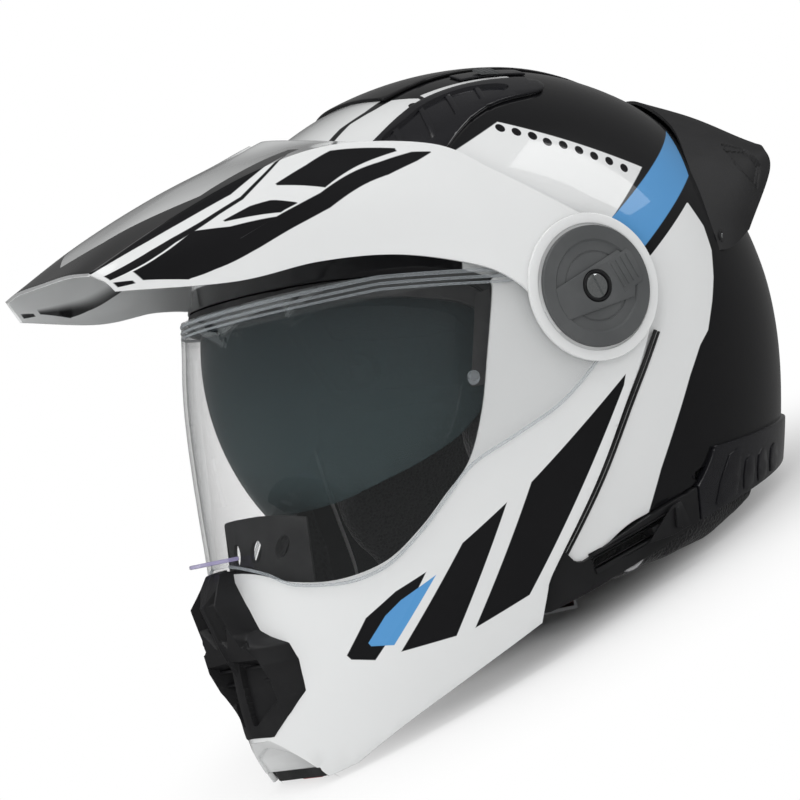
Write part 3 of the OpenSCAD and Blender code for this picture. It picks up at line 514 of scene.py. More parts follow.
piece("shell_skin", skin, shell_paint, "helmet", "outer_shell", slot="shell_paint")

paper = Finish("paper", Base_Color=(0.9, 0.9, 0.9), Roughness=0.9)
ways = paper.tree.nodes.new("ShaderNodeLightPath")
far = paper.node("ShaderNodeVectorMath", {"operation": "LENGTH"}, paper.place, out=1)
plain = paper.node("ShaderNodeEmission", {}, (1, 1, 1), 1.0)
dim = paper.node("ShaderNodeEmission", {}, (1, 1, 1), 0.13)
low = paper.node("ShaderNodeMixShader", {}, Wire(paper, ways.outputs["Is Glossy Ray"]))
paper.tree.links.new(paper.shader.outputs[0], low.socket.node.inputs[1])
paper.tree.links.new(dim.socket, low.socket.node.inputs[2])
blend = paper.node("ShaderNodeMixShader", {}, Wire(paper, ways.outputs["Is Camera Ray"])
                   * far.rise(0.02, 0.27))
paper.tree.links.new(low.socket, blend.socket.node.inputs[1])
paper.tree.links.new(plain.socket, blend.socket.node.inputs[2])
paper.tree.links.new(blend.socket, paper.tree.nodes["Material Output"].inputs["Surface"])
floor.data.materials.append(paper.material)


# ---- Chin bar -----------------------------------------------------------------------------
# White moulded bar that swings up on an arm each side, with slanted black stripes, a bracket
# of black round a blue flash, and a hole at each hub.
chin_keys = [151, 146, 140, 138, 145, 165, 185, 215, 260, 320, 285, 190]
chin_line = flowing([(-200, -97), (-200, -97), (-165, -103), (-150, -112.5), (-134, -115.8),
                     (-116, -111.2), (-101, -99), (-89, -86), (-76, -71.5), (-66, -48),
                     (-58, -20), (-50, 8), (-50, 12), (-36, 20.6), (-20, 31.3), (0, 36),
                     (25, 27), (36, 4), (32, -21), (22, -40), (9, -59), (-12, -91), (-36, -124),
                     (-44, -136), (-46, -142), (-50, -156), (-50, -156), (-88, -176),
                     (-120, -195), (-152, -220), (-152, -220), (-185, -225), (-185, -225),
                     (-200, -150), (-200, -150)])
chin_half, pinch = 121.2, 0.6  # half width, and how much squarer the jaw is than the crown


def block(size, place=Matrix()):
    bm = bmesh.new()
    bmesh.ops.create_cube(bm, size=1, matrix=place @ Matrix.Diagonal((*size, 1)))
    return bm


def hub_bore(bm, r):
    """A round hole of radius r through both sides at the pivots."""
    rod = bmesh.new()
    bmesh.ops.create_cone(rod, cap_ends=True, segments=64, radius1=r, radius2=r, depth=300,
                          matrix=Matrix.Rotation(pi / 2, 4, "Y"))
    return carved(bm, rod, "DIFFERENCE", keep_cut=True)


upright = Matrix.Rotation(TILT, 4, "X")  # from the table's axes to the wearer's
table = block((600, 600, 600), upright @ Matrix.Translation((0, 0, -444.6)))
bm = carved(rounded_body(chin_keys, chin_half, 0, pinch), prism(chin_line, -160, 160),
            "INTERSECT", keep_cut=True)
bm = carved(bm, table, "DIFFERENCE", keep_cut=True)
notch = block((58, 70, 11), upright @ Matrix.Translation((0, -200, -144)))
under_lip = [(-27, -206), (-24.5, -202), (-22, -198), (-19, -195.5), (-14, -194), (0, -191),
             (14, -194), (19, -195.5), (22, -198), (24.5, -202), (27, -206), (27, -225), (-27, -225)]
low_front = [(-163, -187.5), (-141, -214), (-141, -240), (-240, -240), (-240, -184)]
bm = carved(bm, prism(low_front, -160, 160), "DIFFERENCE", keep_cut=True, mark=0)
step = carved(prism(flowing(under_lip, 4), -250, -110, "Y"),
              prism([(a + 2.0, b) for a, b in low_front], -100, 100), "INTERSECT", keep_cut=True)
bm = carved(bm, step, "DIFFERENCE", keep_cut=True, mark=0)
bm = carved(bm, notch, "DIFFERENCE", keep_cut=True)
scoops = [[(2.0, -117), (9, -109), (13, -117), (15.5, -128), (6, -139), (2.0, -135)],
          [(2.5, -146), (28, -147), (29, -158), (25, -168), (8, -180), (3, -180)]]
for corners in scoops:
    for side in (1, -1):
        bm = carved(bm, prism([(side * a, b) for a, b in corners], -230, -130, "Y"),
                    "DIFFERENCE", keep_cut=True)
opened(bm)
bm = hub_bore(thick(bm, 2.9, 0.6), 12.3)
chin_paint = Finish("chin_paint", Coat_Roughness=0.03, IOR=1.5)
x, y, z = chin_paint.worn()
dark = patch(y, z, [(11.8, -44.5), (-48.3, -87.7), (-82.2, -151.8), (-55.3, -141.2),
                    (9.7, -49.7)], 0.2)
dark = dark | patch(y, z, [(-61.6, -95.0), (-84.3, -110.2), (-114.9, -156.2),
                           (-90.9, -153.8)], 0.2)
dark = dark | patch(y, z, [(-97.0, -118.5), (-114.5, -127.0), (-127, -136.8),
                           (-135.8, -153.0), (-134.3, -155.4), (-123.2, -158.4),
                           (-112.5, -140)], 0.2)
flash = patch(y, z, [(-97.2, -122.8), (-112.8, -131.6), (-119.6, -137.6), (-127.3, -149.0),
                     (-126.4, -150.8), (-117.4, -152.4)], 0.15)
front = 1 - patch(x, z, [(-1, -300), (-1, 300), (40, 300), (40, -300)], 0.3)
colour = chin_paint.mixed(dark * front, white, black)
colour = chin_paint.mixed(flash * front, colour, blue)
lacquer(chin_paint, colour, dark)
piece("chin_skin", bm, chin_paint, "chin_bar", "chin_bar", slot="chin_paint")


# ---- Peak ---------------------------------------------------------------------------------
# White moulded peak with a flat top between two creases, flanks that run back into an arm and
# a ring round each side disc, and black stripes under the lacquer.
peak_top = [[(0, -233, 53), (30, -232, 53), (50, -230, 51)],
            [(0, -196, 72), (28, -194, 72), (62, -190, 69)],
            [(0, -157, 88), (24, -154, 88), (78, -146, 85)],
            [(0, -124, 98), (22, -120, 98), (90, -106, 91)],
            [(0, -101, 104), (18, -98, 104), (103, -60, 83)],
            [(0, -70, 110), (14, -70, 110), (112.8, -36, 66)]]
peak_side = [[(50, -230, 51), (55, -225, 46), (57, -221, 40)],
             [(62, -190, 69), (73, -180, 52), (79, -168, 34)],
             [(78, -146, 85), (89, -136, 62), (93, -128, 36)],
             [(90, -106, 91), (103, -99, 64), (108, -92, 32)],
             [(103, -60, 83), (114, -58, 54), (120, -57, 20)],
             [(112.8, -36, 66), (120.4, -38, 40), (124.8, -40, 8)],
             [(122, -14, 48), (125.6, -22, 22), (126.35, -31, -6)],
             [(125.9, 6, 33), (126.3, 0, 16), (126.3, -24, -20)]]


def along(row, u):
    """Point of an open smooth row, u from 0 to its last index."""
    n = len(row) - 1
    i = min(int(u), n - 1)
    t, p, q = u - i, Vector(row[i]), Vector(row[i + 1])
    a = Vector(row[i - 1]) if i else 2 * p - q
    d = Vector(row[i + 2]) if i + 2 <= n else 2 * q - p
    return p + 0.5 * t * (q - a + t * (2 * a - 5 * p + 4 * q - d + t * (3 * (p - q) + d - a)))


def quilt(rows, u_end, v0, v_end, nu, nv, shift=0):
    """Smooth grid through rows of points, with its place kept in its UV map."""
    bm = bmesh.new()
    bmesh.ops.create_grid(bm, x_segments=nu, y_segments=nv, size=0.5)
    uv = bm.loops.layers.uv.new("net")
    for f in bm.faces:
        for loop in f.loops:
            loop[uv].uv = ((loop.vert.co.x + 0.5) * u_end,
                           v0 + (loop.vert.co.y + 0.5) * (v_end - v0) + shift)
    for v in bm.verts:
        u, w = (v.co.x + 0.5) * u_end, v0 + (v.co.y + 0.5) * (v_end - v0)
        v.co = along([along(r, w) for r in rows], u)
    return bm


top_rows = [[(-r[2][0], *r[2][1:]), (-r[1][0], *r[1][1:]), *r] for r in peak_top]
top = quilt(top_rows, 4, 0, 4, 48, 56, shift=-2)
near = quilt(peak_side, 7, 0, 2, 84, 26, shift=2)
far = other_side(near)
bm = joined(top, near, far)
bmesh.ops.remove_doubles(bm, verts=bm.verts, dist=0.05)
bmesh.ops.recalc_face_normals(bm, faces=bm.faces)
if sum(f.normal.z for f in bm.faces) < 0:
    bmesh.ops.reverse_faces(bm, faces=bm.faces)
bm = worked(bm, ("SOLIDIFY", {"thickness": 1.7, "offset": -1, "use_even_offset": True}),
            bevel(0.6, 3, 28))
peak_paint = Finish("peak_paint", Coat_Roughness=0.03, IOR=1.5)
uv = peak_paint.node("ShaderNodeUVMap", {"uv_map": "net"})
parts = peak_paint.node("ShaderNodeSeparateXYZ", {}, uv).socket.node.outputs
u, v = Wire(peak_paint, parts[0]), abs(Wire(peak_paint, parts[1]))
stripes = [[(0, -0.1, 2.15), (0.3, -0.1, 2.17), (0.7, 0.8, 2.2), (1.52, 1.78, 2.2),
            (1.65, 1.75, 2.2), (3.03, 1.49, 1.62), (3.08, 1.47, 1.5)],
           [(0.05, 2.68, 3.1), (0.32, 2.58, 2.9), (0.62, 2.48, 2.72), (0.88, 2.43, 2.58),
            (1.23, 2.4, 2.5), (1.42, 2.37, 2.45), (1.7, 2.33, 2.36)],
           [(1.42, 2.37, 2.45), (1.7, 2.33, 2.4), (2.58, 1.8, 1.83), (2.85, 1.6, 1.63)],
           [(0.3, 2.98, 3.5), (0.65, 2.75, 3.75), (1.1, 2.5, 3.3), (1.4, 2.78, 3.1),
            (1.83, 2.98, 3.0)],
           [(0.05, 3.3, 3.7), (0.22, 3.42, 3.6)],
           [(0.68, 3.3, 3.72), (0.95, 3.18, 3.58), (1.4, 3.09, 3.44), (1.48, 3.07, 3.42),
            (2.43, 2.83, 3.13), (3.32, 2.41, 2.67), (3.48, 2.32, 2.55), (3.7, 2.2, 2.38),
            (3.92, 2.16, 2.18)],
           [(1.4, 2.6, 2.64), (1.7, 2.58, 2.82), (1.9, 2.64, 2.94), (1.95, 2.68, 2.92),
            (2.12, 2.86, 2.88)],
           [(2.08, 2.38, 2.42), (2.53, 2.25, 2.76), (2.9, 2.1, 2.56), (3.55, 2.14, 2.2)]]
dark = None
for rows in stripes:
    one = band(peak_paint, u, v, rows, 0.01)
    dark = one if dark is None else dark | one
up = peak_paint.node("ShaderNodeSeparateXYZ", {},
                     peak_paint.node("ShaderNodeNewGeometry", {}, out="Normal"), out=2)
dark = dark * up.rise(-0.25, -0.15)
lacquer(peak_paint, peak_paint.mixed(dark, white, black), dark, bare_inside=False)
piece("peak_skin", bm, peak_paint, "chin_bar", "peak", slot="peak_paint")


def turned(profile, steps=96):
    """Lathe work about the pivot axis, its profile given as (x, radius)."""
    bm = bmesh.new()
    verts = [bm.verts.new((px, r, 0)) for px, r in profile]
    edges = [bm.edges.new(pair) for pair in zip(verts, verts[1:])]
    bmesh.ops.spin(bm, geom=verts + edges, cent=(0, 0, 0), axis=(1, 0, 0), angle=2 * pi,
                   steps=steps, use_merge=True)
    bmesh.ops.remove_doubles(bm, verts=bm.verts, dist=0.001)
    bmesh.ops.recalc_face_normals(bm, faces=bm.faces)
    return bm


ring = turned([(124.4, 12.4), (124.4, 35.9), (124.9, 36.5), (126.1, 36.5), (126.5, 36.3),
               (126.7, 35.8), (126.7, 31.6), (126.5, 31.3), (125.9, 31.2), (125.9, 12.4),
               (124.4, 12.4)])
ring_paint = Finish("ring_paint", Coat_Roughness=0.03, IOR=1.5)
lacquer(ring_paint, white, 0.0, bare_inside=False)
piece("peak_rings", both(ring), ring_paint, "chin_bar", slot="peak_paint")


# ---- Side discs ---------------------------------------------------------------------------
# Grey matte cover over each pivot, turned with a bevelled recess. A lever with a ribbed grip
# locks the bar up, and a slotted chrome screw in a dark cup holds the disc and the peak.
def plastic(name, specular, low, high, grain, cloud, rough, bump):
    """Grained plastic or rubber. grain is the scale and detail of its texture, cloud those of
    its colour change with the range, rough the slope and base, bump the depth and strength."""
    finish = Finish(name, Specular_IOR_Level=specular)
    texture = finish.noise(*grain)
    shade = finish.noise(*cloud[:2]).rise(*cloud[2:]) if cloud else texture
    finish.use(Base_Color=finish.mixed(shade, low, high), Roughness=texture * rough[0] + rough[1])
    finish.bumped(texture, *bump)
    return finish


grey_plastic = plastic("grey_plastic", 0.4, (0.085, 0.089, 0.091), (0.103, 0.107, 0.109),
                       (2600.0, 2.0), (40.0, 3.0, 0.3, 0.7), (0.12, 0.42), (0.00006, 0.6))
black_plastic = plastic("black_plastic", 0.35, (0.011, 0.011, 0.012), (0.02, 0.02, 0.021),
                        (2200.0, 2.0), (30.0, 4.0, 0.3, 0.75), (0.14, 0.36), (0.00008, 0.7))
disc = turned([(126.9, 3.0), (126.9, 29.6), (127.2, 30.0), (129.2, 30.0), (129.6, 29.6),
               (129.6, 23.2), (128.75, 22.2), (128.75, 17.6), (128.35, 17.3), (128.35, 16.8),
               (128.75, 16.5), (128.75, 3.0), (126.9, 3.0)], 128)
blade = prism(flowing([(-23.4, 1.7), (-23.4, 1.7), (-22.8, -6.2), (-19.7, -13.4), (-18.6, -14.2),
                       (-18.6, -14.2), (19.8, -8.2), (19.8, -8.2), (21, -4), (22, 2), (20, 9),
                       (16.8, 14.0), (15.2, 15.6), (15.2, 15.6)], 4), 128.85, 129.9)
cup = turned([(128, 0.01), (128, 8.2), (131, 8.2), (131, 0.01)], 64)
blade = carved(blade, cup, "DIFFERENCE", keep_cut=True)
blade = worked(blade, bevel(0.25, clamp=False))
grip = prism([(7.4, 10.4), (20.0, 15.6), (22.6, 13.6), (26.4, 2.0), (25.8, -1.2), (14.8, -5.6)],
             129.68, 130.0)
ribs = [block((0.5, 1.5, 13.5), Matrix.Translation((130.1, 12.6 + i * 3.1, 3.6 + i * 1.2))
              @ Matrix.Rotation(radians(22), 4, "X")) for i in range(4)]
lever = joined(blade, worked(joined(grip, *ribs), bevel(0.16)))
collar = turned([(127.2, 2.7), (127.2, 7.9), (129.2, 7.9), (129.95, 7.4), (129.95, 6.7),
                 (128.6, 6.2), (128.6, 2.7), (127.2, 2.7)], 64)
screw = turned([(124.3, 0.01), (124.3, 2.3), (128.7, 2.3), (128.7, 5.9), (129.7, 5.9),
                (130.1, 5.3), (130.15, 0.01)], 64)
slot = block((1.6, 1.5, 16), Matrix.Rotation(radians(20), 4, "X")
             @ Matrix.Translation((130, 0, 0)))
screw = carved(screw, slot, "DIFFERENCE", keep_cut=True)
chrome = Finish("chrome", Metallic=1.0)
scuff = chrome.noise(900.0, 3.0)
chrome.use(Base_Color=chrome.mixed(scuff.rise(0.4, 0.8), (0.78, 0.80, 0.80), (0.62, 0.66, 0.66)),
           Roughness=scuff * 0.18 + 0.08)
for s, name in ((1, "left"), (-1, "right")):
    piece("disc_" + name, sided(disc, s), grey_plastic, "chin_bar", "side_disc_" + name,
          slot="disc_grey")
    piece("lock_" + name, sided(lever, s), grey_plastic, "lock_lever_" + name,
          "lock_lever_" + name, slot="disc_grey", crisp=25)
piece("screw_cups", both(collar), black_plastic, "chin_bar", slot="trim_black")
piece("cover_screws", both(screw), chrome, "chin_bar", "disc_screws", slot="screw_chrome",
      crisp=25)


# ---- Face shield --------------------------------------------------------------------------
# Clear polycarbonate, 2 mm, drape-formed: a thick ribbed band along its top edge, a bright cut
# edge below, and a violet-tinted tab to lift it by.
shield_keys = [k + 2.9 + (1 if i > 8 else 0.6) for i, k in enumerate(chin_keys)]
shield_half = 124.1
shield_line = flowing([(-200, 23), (-200, 23), (-150, 25.5), (-110, 25.5), (-74, 19.5), (-45, 18),
                       (-28, 18.5), (-8, 20), (6, 19), (16, 12), (20, 2), (19, -8), (14, -17),
                       (4, -28), (-12, -42), (-30, -54), (-52, -63.5), (-76, -74), (-90, -88),
                       (-101, -100), (-114, -112), (-124, -117), (-135, -118.5), (-150, -115),
                       (-158, -107), (-166, -100), (-200, -98.5), (-200, -98.5)], 6)
bm = hub_bore(panel(shield_keys, shield_half, shield_line, 1.95, pinch=pinch, edge=0.35), 12.1)
clear = Finish("clear", Base_Color=(0.93, 0.96, 0.97), Metallic=1.0)
x, y, z = clear.worn()
facing = clear.node("ShaderNodeLayerWeight", {}, 0.5, out="Facing")
film = clear.noise(6.0, 3.0).rise(0.3, 0.8)
clear.use(Alpha=facing ** 4.0 * 0.55 + film * 0.02 + 0.055 + z.rise(13.0, 15.0) * 0.10,
          Roughness=film * 0.04 + 0.03)
piece("shield_lens", bm, clear, "shield", "face_shield", slot="clear_shield")


def edge_path(sink, drop):
    """Points from side to side along the shield's top edge, a little into its surface."""
    path = []
    for i in range(91):
        ph = -72 + 144 * i / 90
        low, high = -70.0, 60.0
        for _ in range(30):
            th = (low + high) / 2
            p = on_body(shield_keys, shield_half - sink, sink, th, ph, pinch)
            if p.z < top_edge(p.y) - drop:
                low = th
            else:
                high = th
        path.append(p)
    return path


def up_to_lowest(line, axis):
    """The part of a closed line up to its lowest point on an axis."""
    return line[:min(range(len(line)), key=lambda i: line[i][axis]) + 1]


def on_side(keys, w, dr, y, z, pinch=0.0):
    """Point of a body's left side at y and z."""
    r, th = hypot(y, z), degrees(atan2(z, -y))
    big = carry(keys, th) - dr
    n, x = 2.2, 0.0
    for _ in range(8):
        x = w * max(1e-6, 1 - min(1.0, r / big) ** n) ** (1 / n)
        c2 = (r / hypot(r, x)) ** 2
        n = 2.2 - pinch * max(0.0, cos(radians(th + 45))) ** 3 * c2
    return Vector((x, y, z))


def top_edge(y):
    """Height of the shield's top edge."""
    return 25.0 if y < -100 else 25.0 + (y + 100) * (-7.5 / 55) if y < -45 else 17.5


ribs = [bead(edge_path(0.5, drop), r, 3) for drop, r in ((1.2, 1.0), (4.4, 0.8), (7.2, 0.7))]
frost = Finish("frost", Base_Color=(0.50, 0.54, 0.57), Specular_IOR_Level=0.9)
facing = frost.node("ShaderNodeLayerWeight", {}, 0.5, out="Facing")
frost.use(Alpha=facing * 0.5 + 0.22, Roughness=frost.noise(300.0) * 0.1 + 0.08)
rim = flowing([(19, -8), (19, -8), (14, -17), (4, -28), (-12, -42), (-30, -54), (-52, -63.5),
               (-76, -74), (-90, -88), (-101, -100), (-114, -112), (-124, -117), (-135, -118.5),
               (-150, -115), (-158, -107), (-166, -100), (-166, -100)], 5)
rim = bead([on_side(shield_keys, shield_half, 0.9, q.x, q.y + 0.4, pinch)
            for q in up_to_lowest(rim, 0)], 0.8, 3)
piece("shield_band", joined(*ribs, other_side(rim), rim), frost, "shield", slot="clear_shield")
flat = prism(flowing([(-22, -166), (-20, -172.5), (-12, -176.3), (0, -177.4), (12, -176.3),
                      (20, -172.5), (22, -166), (12, -167.5), (0, -168.3), (-12, -167.5)], 6),
             -97.4, -95.4, "Z")
flat = worked(flat, bevel(0.6, 3, 50, False))
violet = Finish("violet", Base_Color=(0.42, 0.38, 0.62), Specular_IOR_Level=0.8)
facing = violet.node("ShaderNodeLayerWeight", {}, 0.5, out="Facing")
violet.use(Alpha=facing * 0.35 + 0.45, Roughness=violet.noise(200.0) * 0.1 + 0.06)
piece("lift_tab", flat, violet, "shield", "shield_tab", slot="tab_tint")


# ---- Sun visor ----------------------------------------------------------------------------
# Smoke polycarbonate inside the shell, hanging from a pin each side, with a nose cut. Its
# ground lower edge shows as a pale teal line.
visor_line = flowing([(-150, 45), (-150, 45), (-118, 52), (-60, 40), (-26, 8), (-8, 0),
                      (-5, -12), (-10, -24), (-30, -31), (-50, -44), (-66, -58), (-84, -67),
                      (-100, -73), (-118, -79.5), (-135, -79), (-160, -68), (-160, -68)], 6)
bm = panel([124.5] * 12, 97, visor_line, 1.75, edge=0.3, pivot=(-20, -12))
nose = prism(flowing([(-17, -108), (-17, -108), (-13.5, -80), (-10, -70), (-5, -64.5),
                      (0, -63.6), (5, -64.5), (10, -70), (13.5, -80), (17, -108), (17, -108)],
                     5), -200, -100, "Y")
bm = carved(bm, nose, "DIFFERENCE", keep_cut=True)
smoke = Finish("smoke", Specular_IOR_Level=0.6)
facing = smoke.node("ShaderNodeLayerWeight", {}, 0.5, out="Facing")
shade = smoke.worn()[2].rise(-80, 30)
smoke.use(Base_Color=smoke.mixed(shade, (0.055, 0.085, 0.09), (0.02, 0.032, 0.036)),
          Alpha=facing * 0.25 + shade * 0.15 + 0.62, Roughness=smoke.noise(8.0) * 0.04 + 0.02)
piece("smoke_visor", bm, smoke, "sun_visor", "sun_visor", slot="smoke_visor")


# ---- Port seals ---------------------------------------------------------------------------
# Grained rubber along the lower edge of the eye port, the seal under the brow, and the breath
# deflector over the nose with its five slanted holes.
rubber = plastic("rubber", 0.35, (0.020, 0.020, 0.021), (0.036, 0.036, 0.037),
                 (1500.0, 4.0), (55.0, 4.0, 0.35, 0.75), (0.2, 0.45), (0.00018, 0.8))
port_line = flowing([(-200, -88), (-200, -88), (-165, -93), (-150, -100.5), (-134, -105),
                     (-116, -101), (-101, -89), (-89, -77), (-75.5, -56), (-68, -36), (-68, -36),
                     (-60.5, -36), (-60.5, -36), (-68, -60), (-84, -88), (-99, -104),
                     (-116, -115.5), (-134, -120), (-150, -117), (-165, -108), (-200, -103),
                     (-200, -103)], 6)
bm = panel(chin_keys, 118.0, port_line, 7, dr=3.2, pinch=pinch, edge=1.2)
sweep = rounded_body([149.2] * 12, 117.9)  # what the brow passes through as the bar turns
bm = carved(bm, sweep, "DIFFERENCE", keep_cut=True)
cheek_line = flowing([(-68, -37), (-68, -37), (-62, -12), (-57, 8), (-57, 8), (-50, 8), (-50, 8),
                      (-53, -12), (-60, -37), (-60, -37)], 5)
bm = joined(bm, panel(chin_keys, 118.2, cheek_line, 0.6, dr=3.0, pinch=pinch, edge=0.2))
piece("port_seal", bm, rubber, "chin_bar", "port_trim", slot="gasket")
brow_line = flowing([(-175, 21), (-175, 21), (-112, 17), (-66, 5), (-55, -6), (-52, -14),
                     (-52, -14), (-49, -14), (-49, -14), (-50.5, 1.8), (-64.2, 14.6),
                     (-112, 26.6), (-175, 30.6), (-175, 30.6)], 6)
bm = panel(shell_keys, 116.5, brow_line, 2.9, dr=0.5, edge=0.8)
piece("brow_seal", bm, rubber, "helmet", "brow_gasket", slot="gasket")
guard_line = flowing([(-200, -80), (-200, -80), (-150, -78), (-118, -94), (-118, -94),
                      (-118, -118.5), (-118, -118.5), (-150, -119), (-200, -110), (-200, -110)], 6)
bm = carved(rounded_body(chin_keys, 110, 10.4, pinch), prism(guard_line, -43, 43), "INTERSECT")
bm = thick(bm, 1.9, 0.5)
for i in range(-2, 3):
    hole = bmesh.new()
    bmesh.ops.create_cone(hole, cap_ends=True, segments=32, radius1=1, radius2=1, depth=1,
                          matrix=Matrix.Translation((i * 15, -150, -95))
                          @ Matrix.Rotation(radians(12 * i), 4, "Y")
                          @ Matrix.Rotation(pi / 2, 4, "X") @ Matrix.Diagonal((3.4, 5.8, 120, 1)))
    bm = carved(bm, hole, "DIFFERENCE", keep_cut=True)
piece("breath_guard", bm, rubber, "chin_bar", "breath_deflector", slot="trim_black")


# ---- Chin vent ----------------------------------------------------------------------------
# Matte black vent cover: a sharp spine down the middle, a scoop on each side above and below a
# cross brace, louvre steps inside the scoops, and a bevelled rim. It is one height field over
# the chin bar's own surface.
def in_front(keys, w, dr, x, z):
    """y of a body's front surface at x and z."""
    near_y, far_y = -40.0, -260.0
    for _ in range(24):
        y = (near_y + far_y) / 2
        r = hypot(y, z)
        c2 = r * r / (r * r + x * x)
        n = 2.2 - pinch * max(0.0, cos(atan2(z, -y) + pi / 4)) ** 3 * c2
        if (abs(x) / w) ** n + (r / (carry(keys, degrees(atan2(z, -y))) - dr)) ** n < 1:
            near_y = y
        else:
            far_y = y
    return near_y


def inside_of(corners, x, z):
    """Distance from a point to a convex outline, positive inside."""
    area = sum(p[0] * q[1] - q[0] * p[1] for p, q in zip(corners, corners[1:] + corners[:1]))
    sign = 1 if area > 0 else -1
    return min(sign * ((q[0] - p[0]) * (z - p[1]) - (q[1] - p[1]) * (x - p[0]))
               / hypot(q[0] - p[0], q[1] - p[1])
               for p, q in zip(corners, corners[1:] + corners[:1]))


def looked_up(table, z):
    """Value at a height, from rows that run downwards."""
    for (z0, a), (z1, b) in zip(table, table[1:]):
        if z >= z1:
            return a + (b - a) * (z0 - z) / (z0 - z1)
    return table[-1][1]


def clip01(t):
    return max(0.0, min(1.0, t))


rim = [(-96, 8), (-108, 9), (-123, 17), (-133, 21.5), (-137, 27), (-141.5, 35.5), (-150, 38),
       (-166, 37.5), (-175, 28), (-184, 17), (-188, 12)]
lip = [(-96, 7), (-108, 9.5), (-118, 14), (-133, 17), (-140, 24), (-150, 30), (-160, 29.5),
       (-172, 21), (-184, 12), (-188, 9)]
spine = [(-96, -166.5), (-101, -170.5), (-112, -177.3), (-117, -180.6), (-128, -177.4),
         (-139, -174), (-159, -166), (-178.4, -159), (-188, -155)]
facet = [(16.5, -125), (20.5, -132), (34, -142.0), (19, -140)]
bm = bmesh.new()
bmesh.ops.create_grid(bm, x_segments=180, y_segments=150, size=1)
for v in bm.verts:
    s, z = v.co.x, -100.8 - 84.2 * (1 - v.co.y) / 2 - 1.2 * v.co.x ** 2
    wide, flat = looked_up(rim, z), looked_up(lip, z)
    t = abs(s)
    x = flat * t / 0.7 if t < 0.7 else flat + (wide - flat) * (t - 0.7) / 0.3
    skin_y = in_front(chin_keys, chin_half, 0, x, z)
    top_y = looked_up(spine, z) - 1.0 * clip01(1 - x / 2.5) + 0.02 * x
    fall = clip01((t - 0.68) / 0.28) ** 1.25
    y = top_y + (skin_y - 0.8 - top_y) * fall
    deep = min(4.5, 1.6 * inside_of(facet, x, z)) if t < 0.95 else 0
    for corners in scoops:
        d = inside_of(corners, x, z)
        if d > 0:
            wall = 2.6 * (corners[3][0] + 1.5 - x) + 4.0 - 1.9 * ((-z / 7.0) % 1.0)
            deep = max(deep, min(0.95 * (x - 1.5), max(wall, 0.0) + 2.0, 2.2 * d, 14.0))
    y = min(y + max(deep, 0.0), skin_y + (2.2 if deep > 3 and t < 0.9 else -0.5))
    ends = min(-100.8 - z, z + 186.2)
    if ends < 1.5:
        y += (skin_y + 1.0 - y) * (1 - max(0.0, ends) / 1.5) ** 2
    if t > 0.96:
        y += (skin_y + 1.5 - y) * ((t - 0.96) / 0.04)
    v.co = Vector((x if s > 0 else -x, y, z))
bm.normal_update()
if sum(f.normal.y for f in bm.faces) > 0:
    bmesh.ops.reverse_faces(bm, faces=bm.faces)
bm = worked(bm, ("SOLIDIFY", {"thickness": 0.8, "offset": -1, "use_even_offset": False}))
piece("vent_cover", bm, black_plastic, "chin_bar", "chin_vent_cover", slot="trim_black",
      crisp=28)
blades = []
for i in range(9):
    z = -114.5 - 7.2 * i
    reach = max((x / 2 for c in scoops for x in range(6, 60)
                 if inside_of(c, x / 2, z - 0.4) > 0.6), default=0)
    if reach > 5:
        for side in (1, -1):
            blade = bmesh.new()
            bmesh.ops.create_cube(blade, size=1)
            for v in blade.verts:
                x = 1.5 if v.co.x < 0 else reach - 0.4
                front = looked_up(spine, z) + 3.2 + 0.06 * x
                back = in_front(chin_keys, chin_half, 0, x, z) + 1.6
                v.co = Vector((side * x, front if v.co.y < 0 else max(back, front + 2),
                               z + (0.7 if v.co.z > 0 else -0.7) + (1.2 if v.co.y > 0 else 0)))
            bmesh.ops.recalc_face_normals(blade, faces=blade.faces)
            blades.append(blade)
piece("vent_blades", worked(joined(*blades), bevel(0.3)), black_plastic, "chin_bar",
      "chin_vent_core", slot="trim_grey")


# ---- Lower trim ---------------------------------------------------------------------------
# Satin black rim round the shell's lower edge with a railed slot each side for the sun visor's
# slider, a glossy bumper behind, and the seam rubber between shell and chin bar.
satin = Finish("satin", Specular_IOR_Level=0.5)
grain = satin.noise(1900.0, 2.0)
cloud = satin.noise(26.0, 4.0)
satin.use(Base_Color=satin.mixed(cloud.rise(0.3, 0.75), (0.010, 0.010, 0.011),
                                 (0.018, 0.018, 0.019)),
          Roughness=grain * 0.10 + cloud * 0.08 + 0.24)
satin.bumped(grain, 0.00005, 0.5)
trim_line = flowing([(-35.5, -124), (-35.5, -124), (-32, -124.5), (-27, -129.5), (-23, -130.5),
                     (-18, -129), (16.6, -115.2), (49.9, -105.6), (49.9, -105.6),
                     (50.6, -122.6), (50.6, -122.6), (8, -137),
                     (-37, -151), (-45, -151), (-45, -151), (-43.4, -137)], 5)
bm = panel(shell_keys, 119, trim_line, 5.5, dr=-2, edge=0.7)
slot_turn = radians(16)  # the sun visor's slot climbs towards the back
tilt = Matrix.Translation((0, 8, -125.5)) @ Matrix.Rotation(slot_turn, 4, "X")
bm = carved(bm, block((300, 53, 9.6), tilt), "DIFFERENCE", keep_cut=True)
piece("trim_rim", bm, satin, "helmet", "lower_trim", slot="trim_black")
rails = []
for h, wide, half in ((4.0, 1.3, 118.0), (-3.9, 1.5, 118.4), (1.9, 0.7, 116.0),
                      (-2.0, 0.7, 116.2)):
    at = [tilt @ Vector((0, -26.3 + i * 52.6 / 24, h)) for i in range(25)]
    at = [on_side(shell_keys, half, shell_half - half, q.y, q.z) for q in at]
    rails.append(bead(at, wide / 2, 2))
trays = [block((6, 52.6, 2.4), tilt @ Matrix.Translation((100.2, 0, h))) for h in (4.2, -4.2)]
piece("slot_rails", both(joined(*rails, *trays)), satin, "helmet", slot="trim_black")
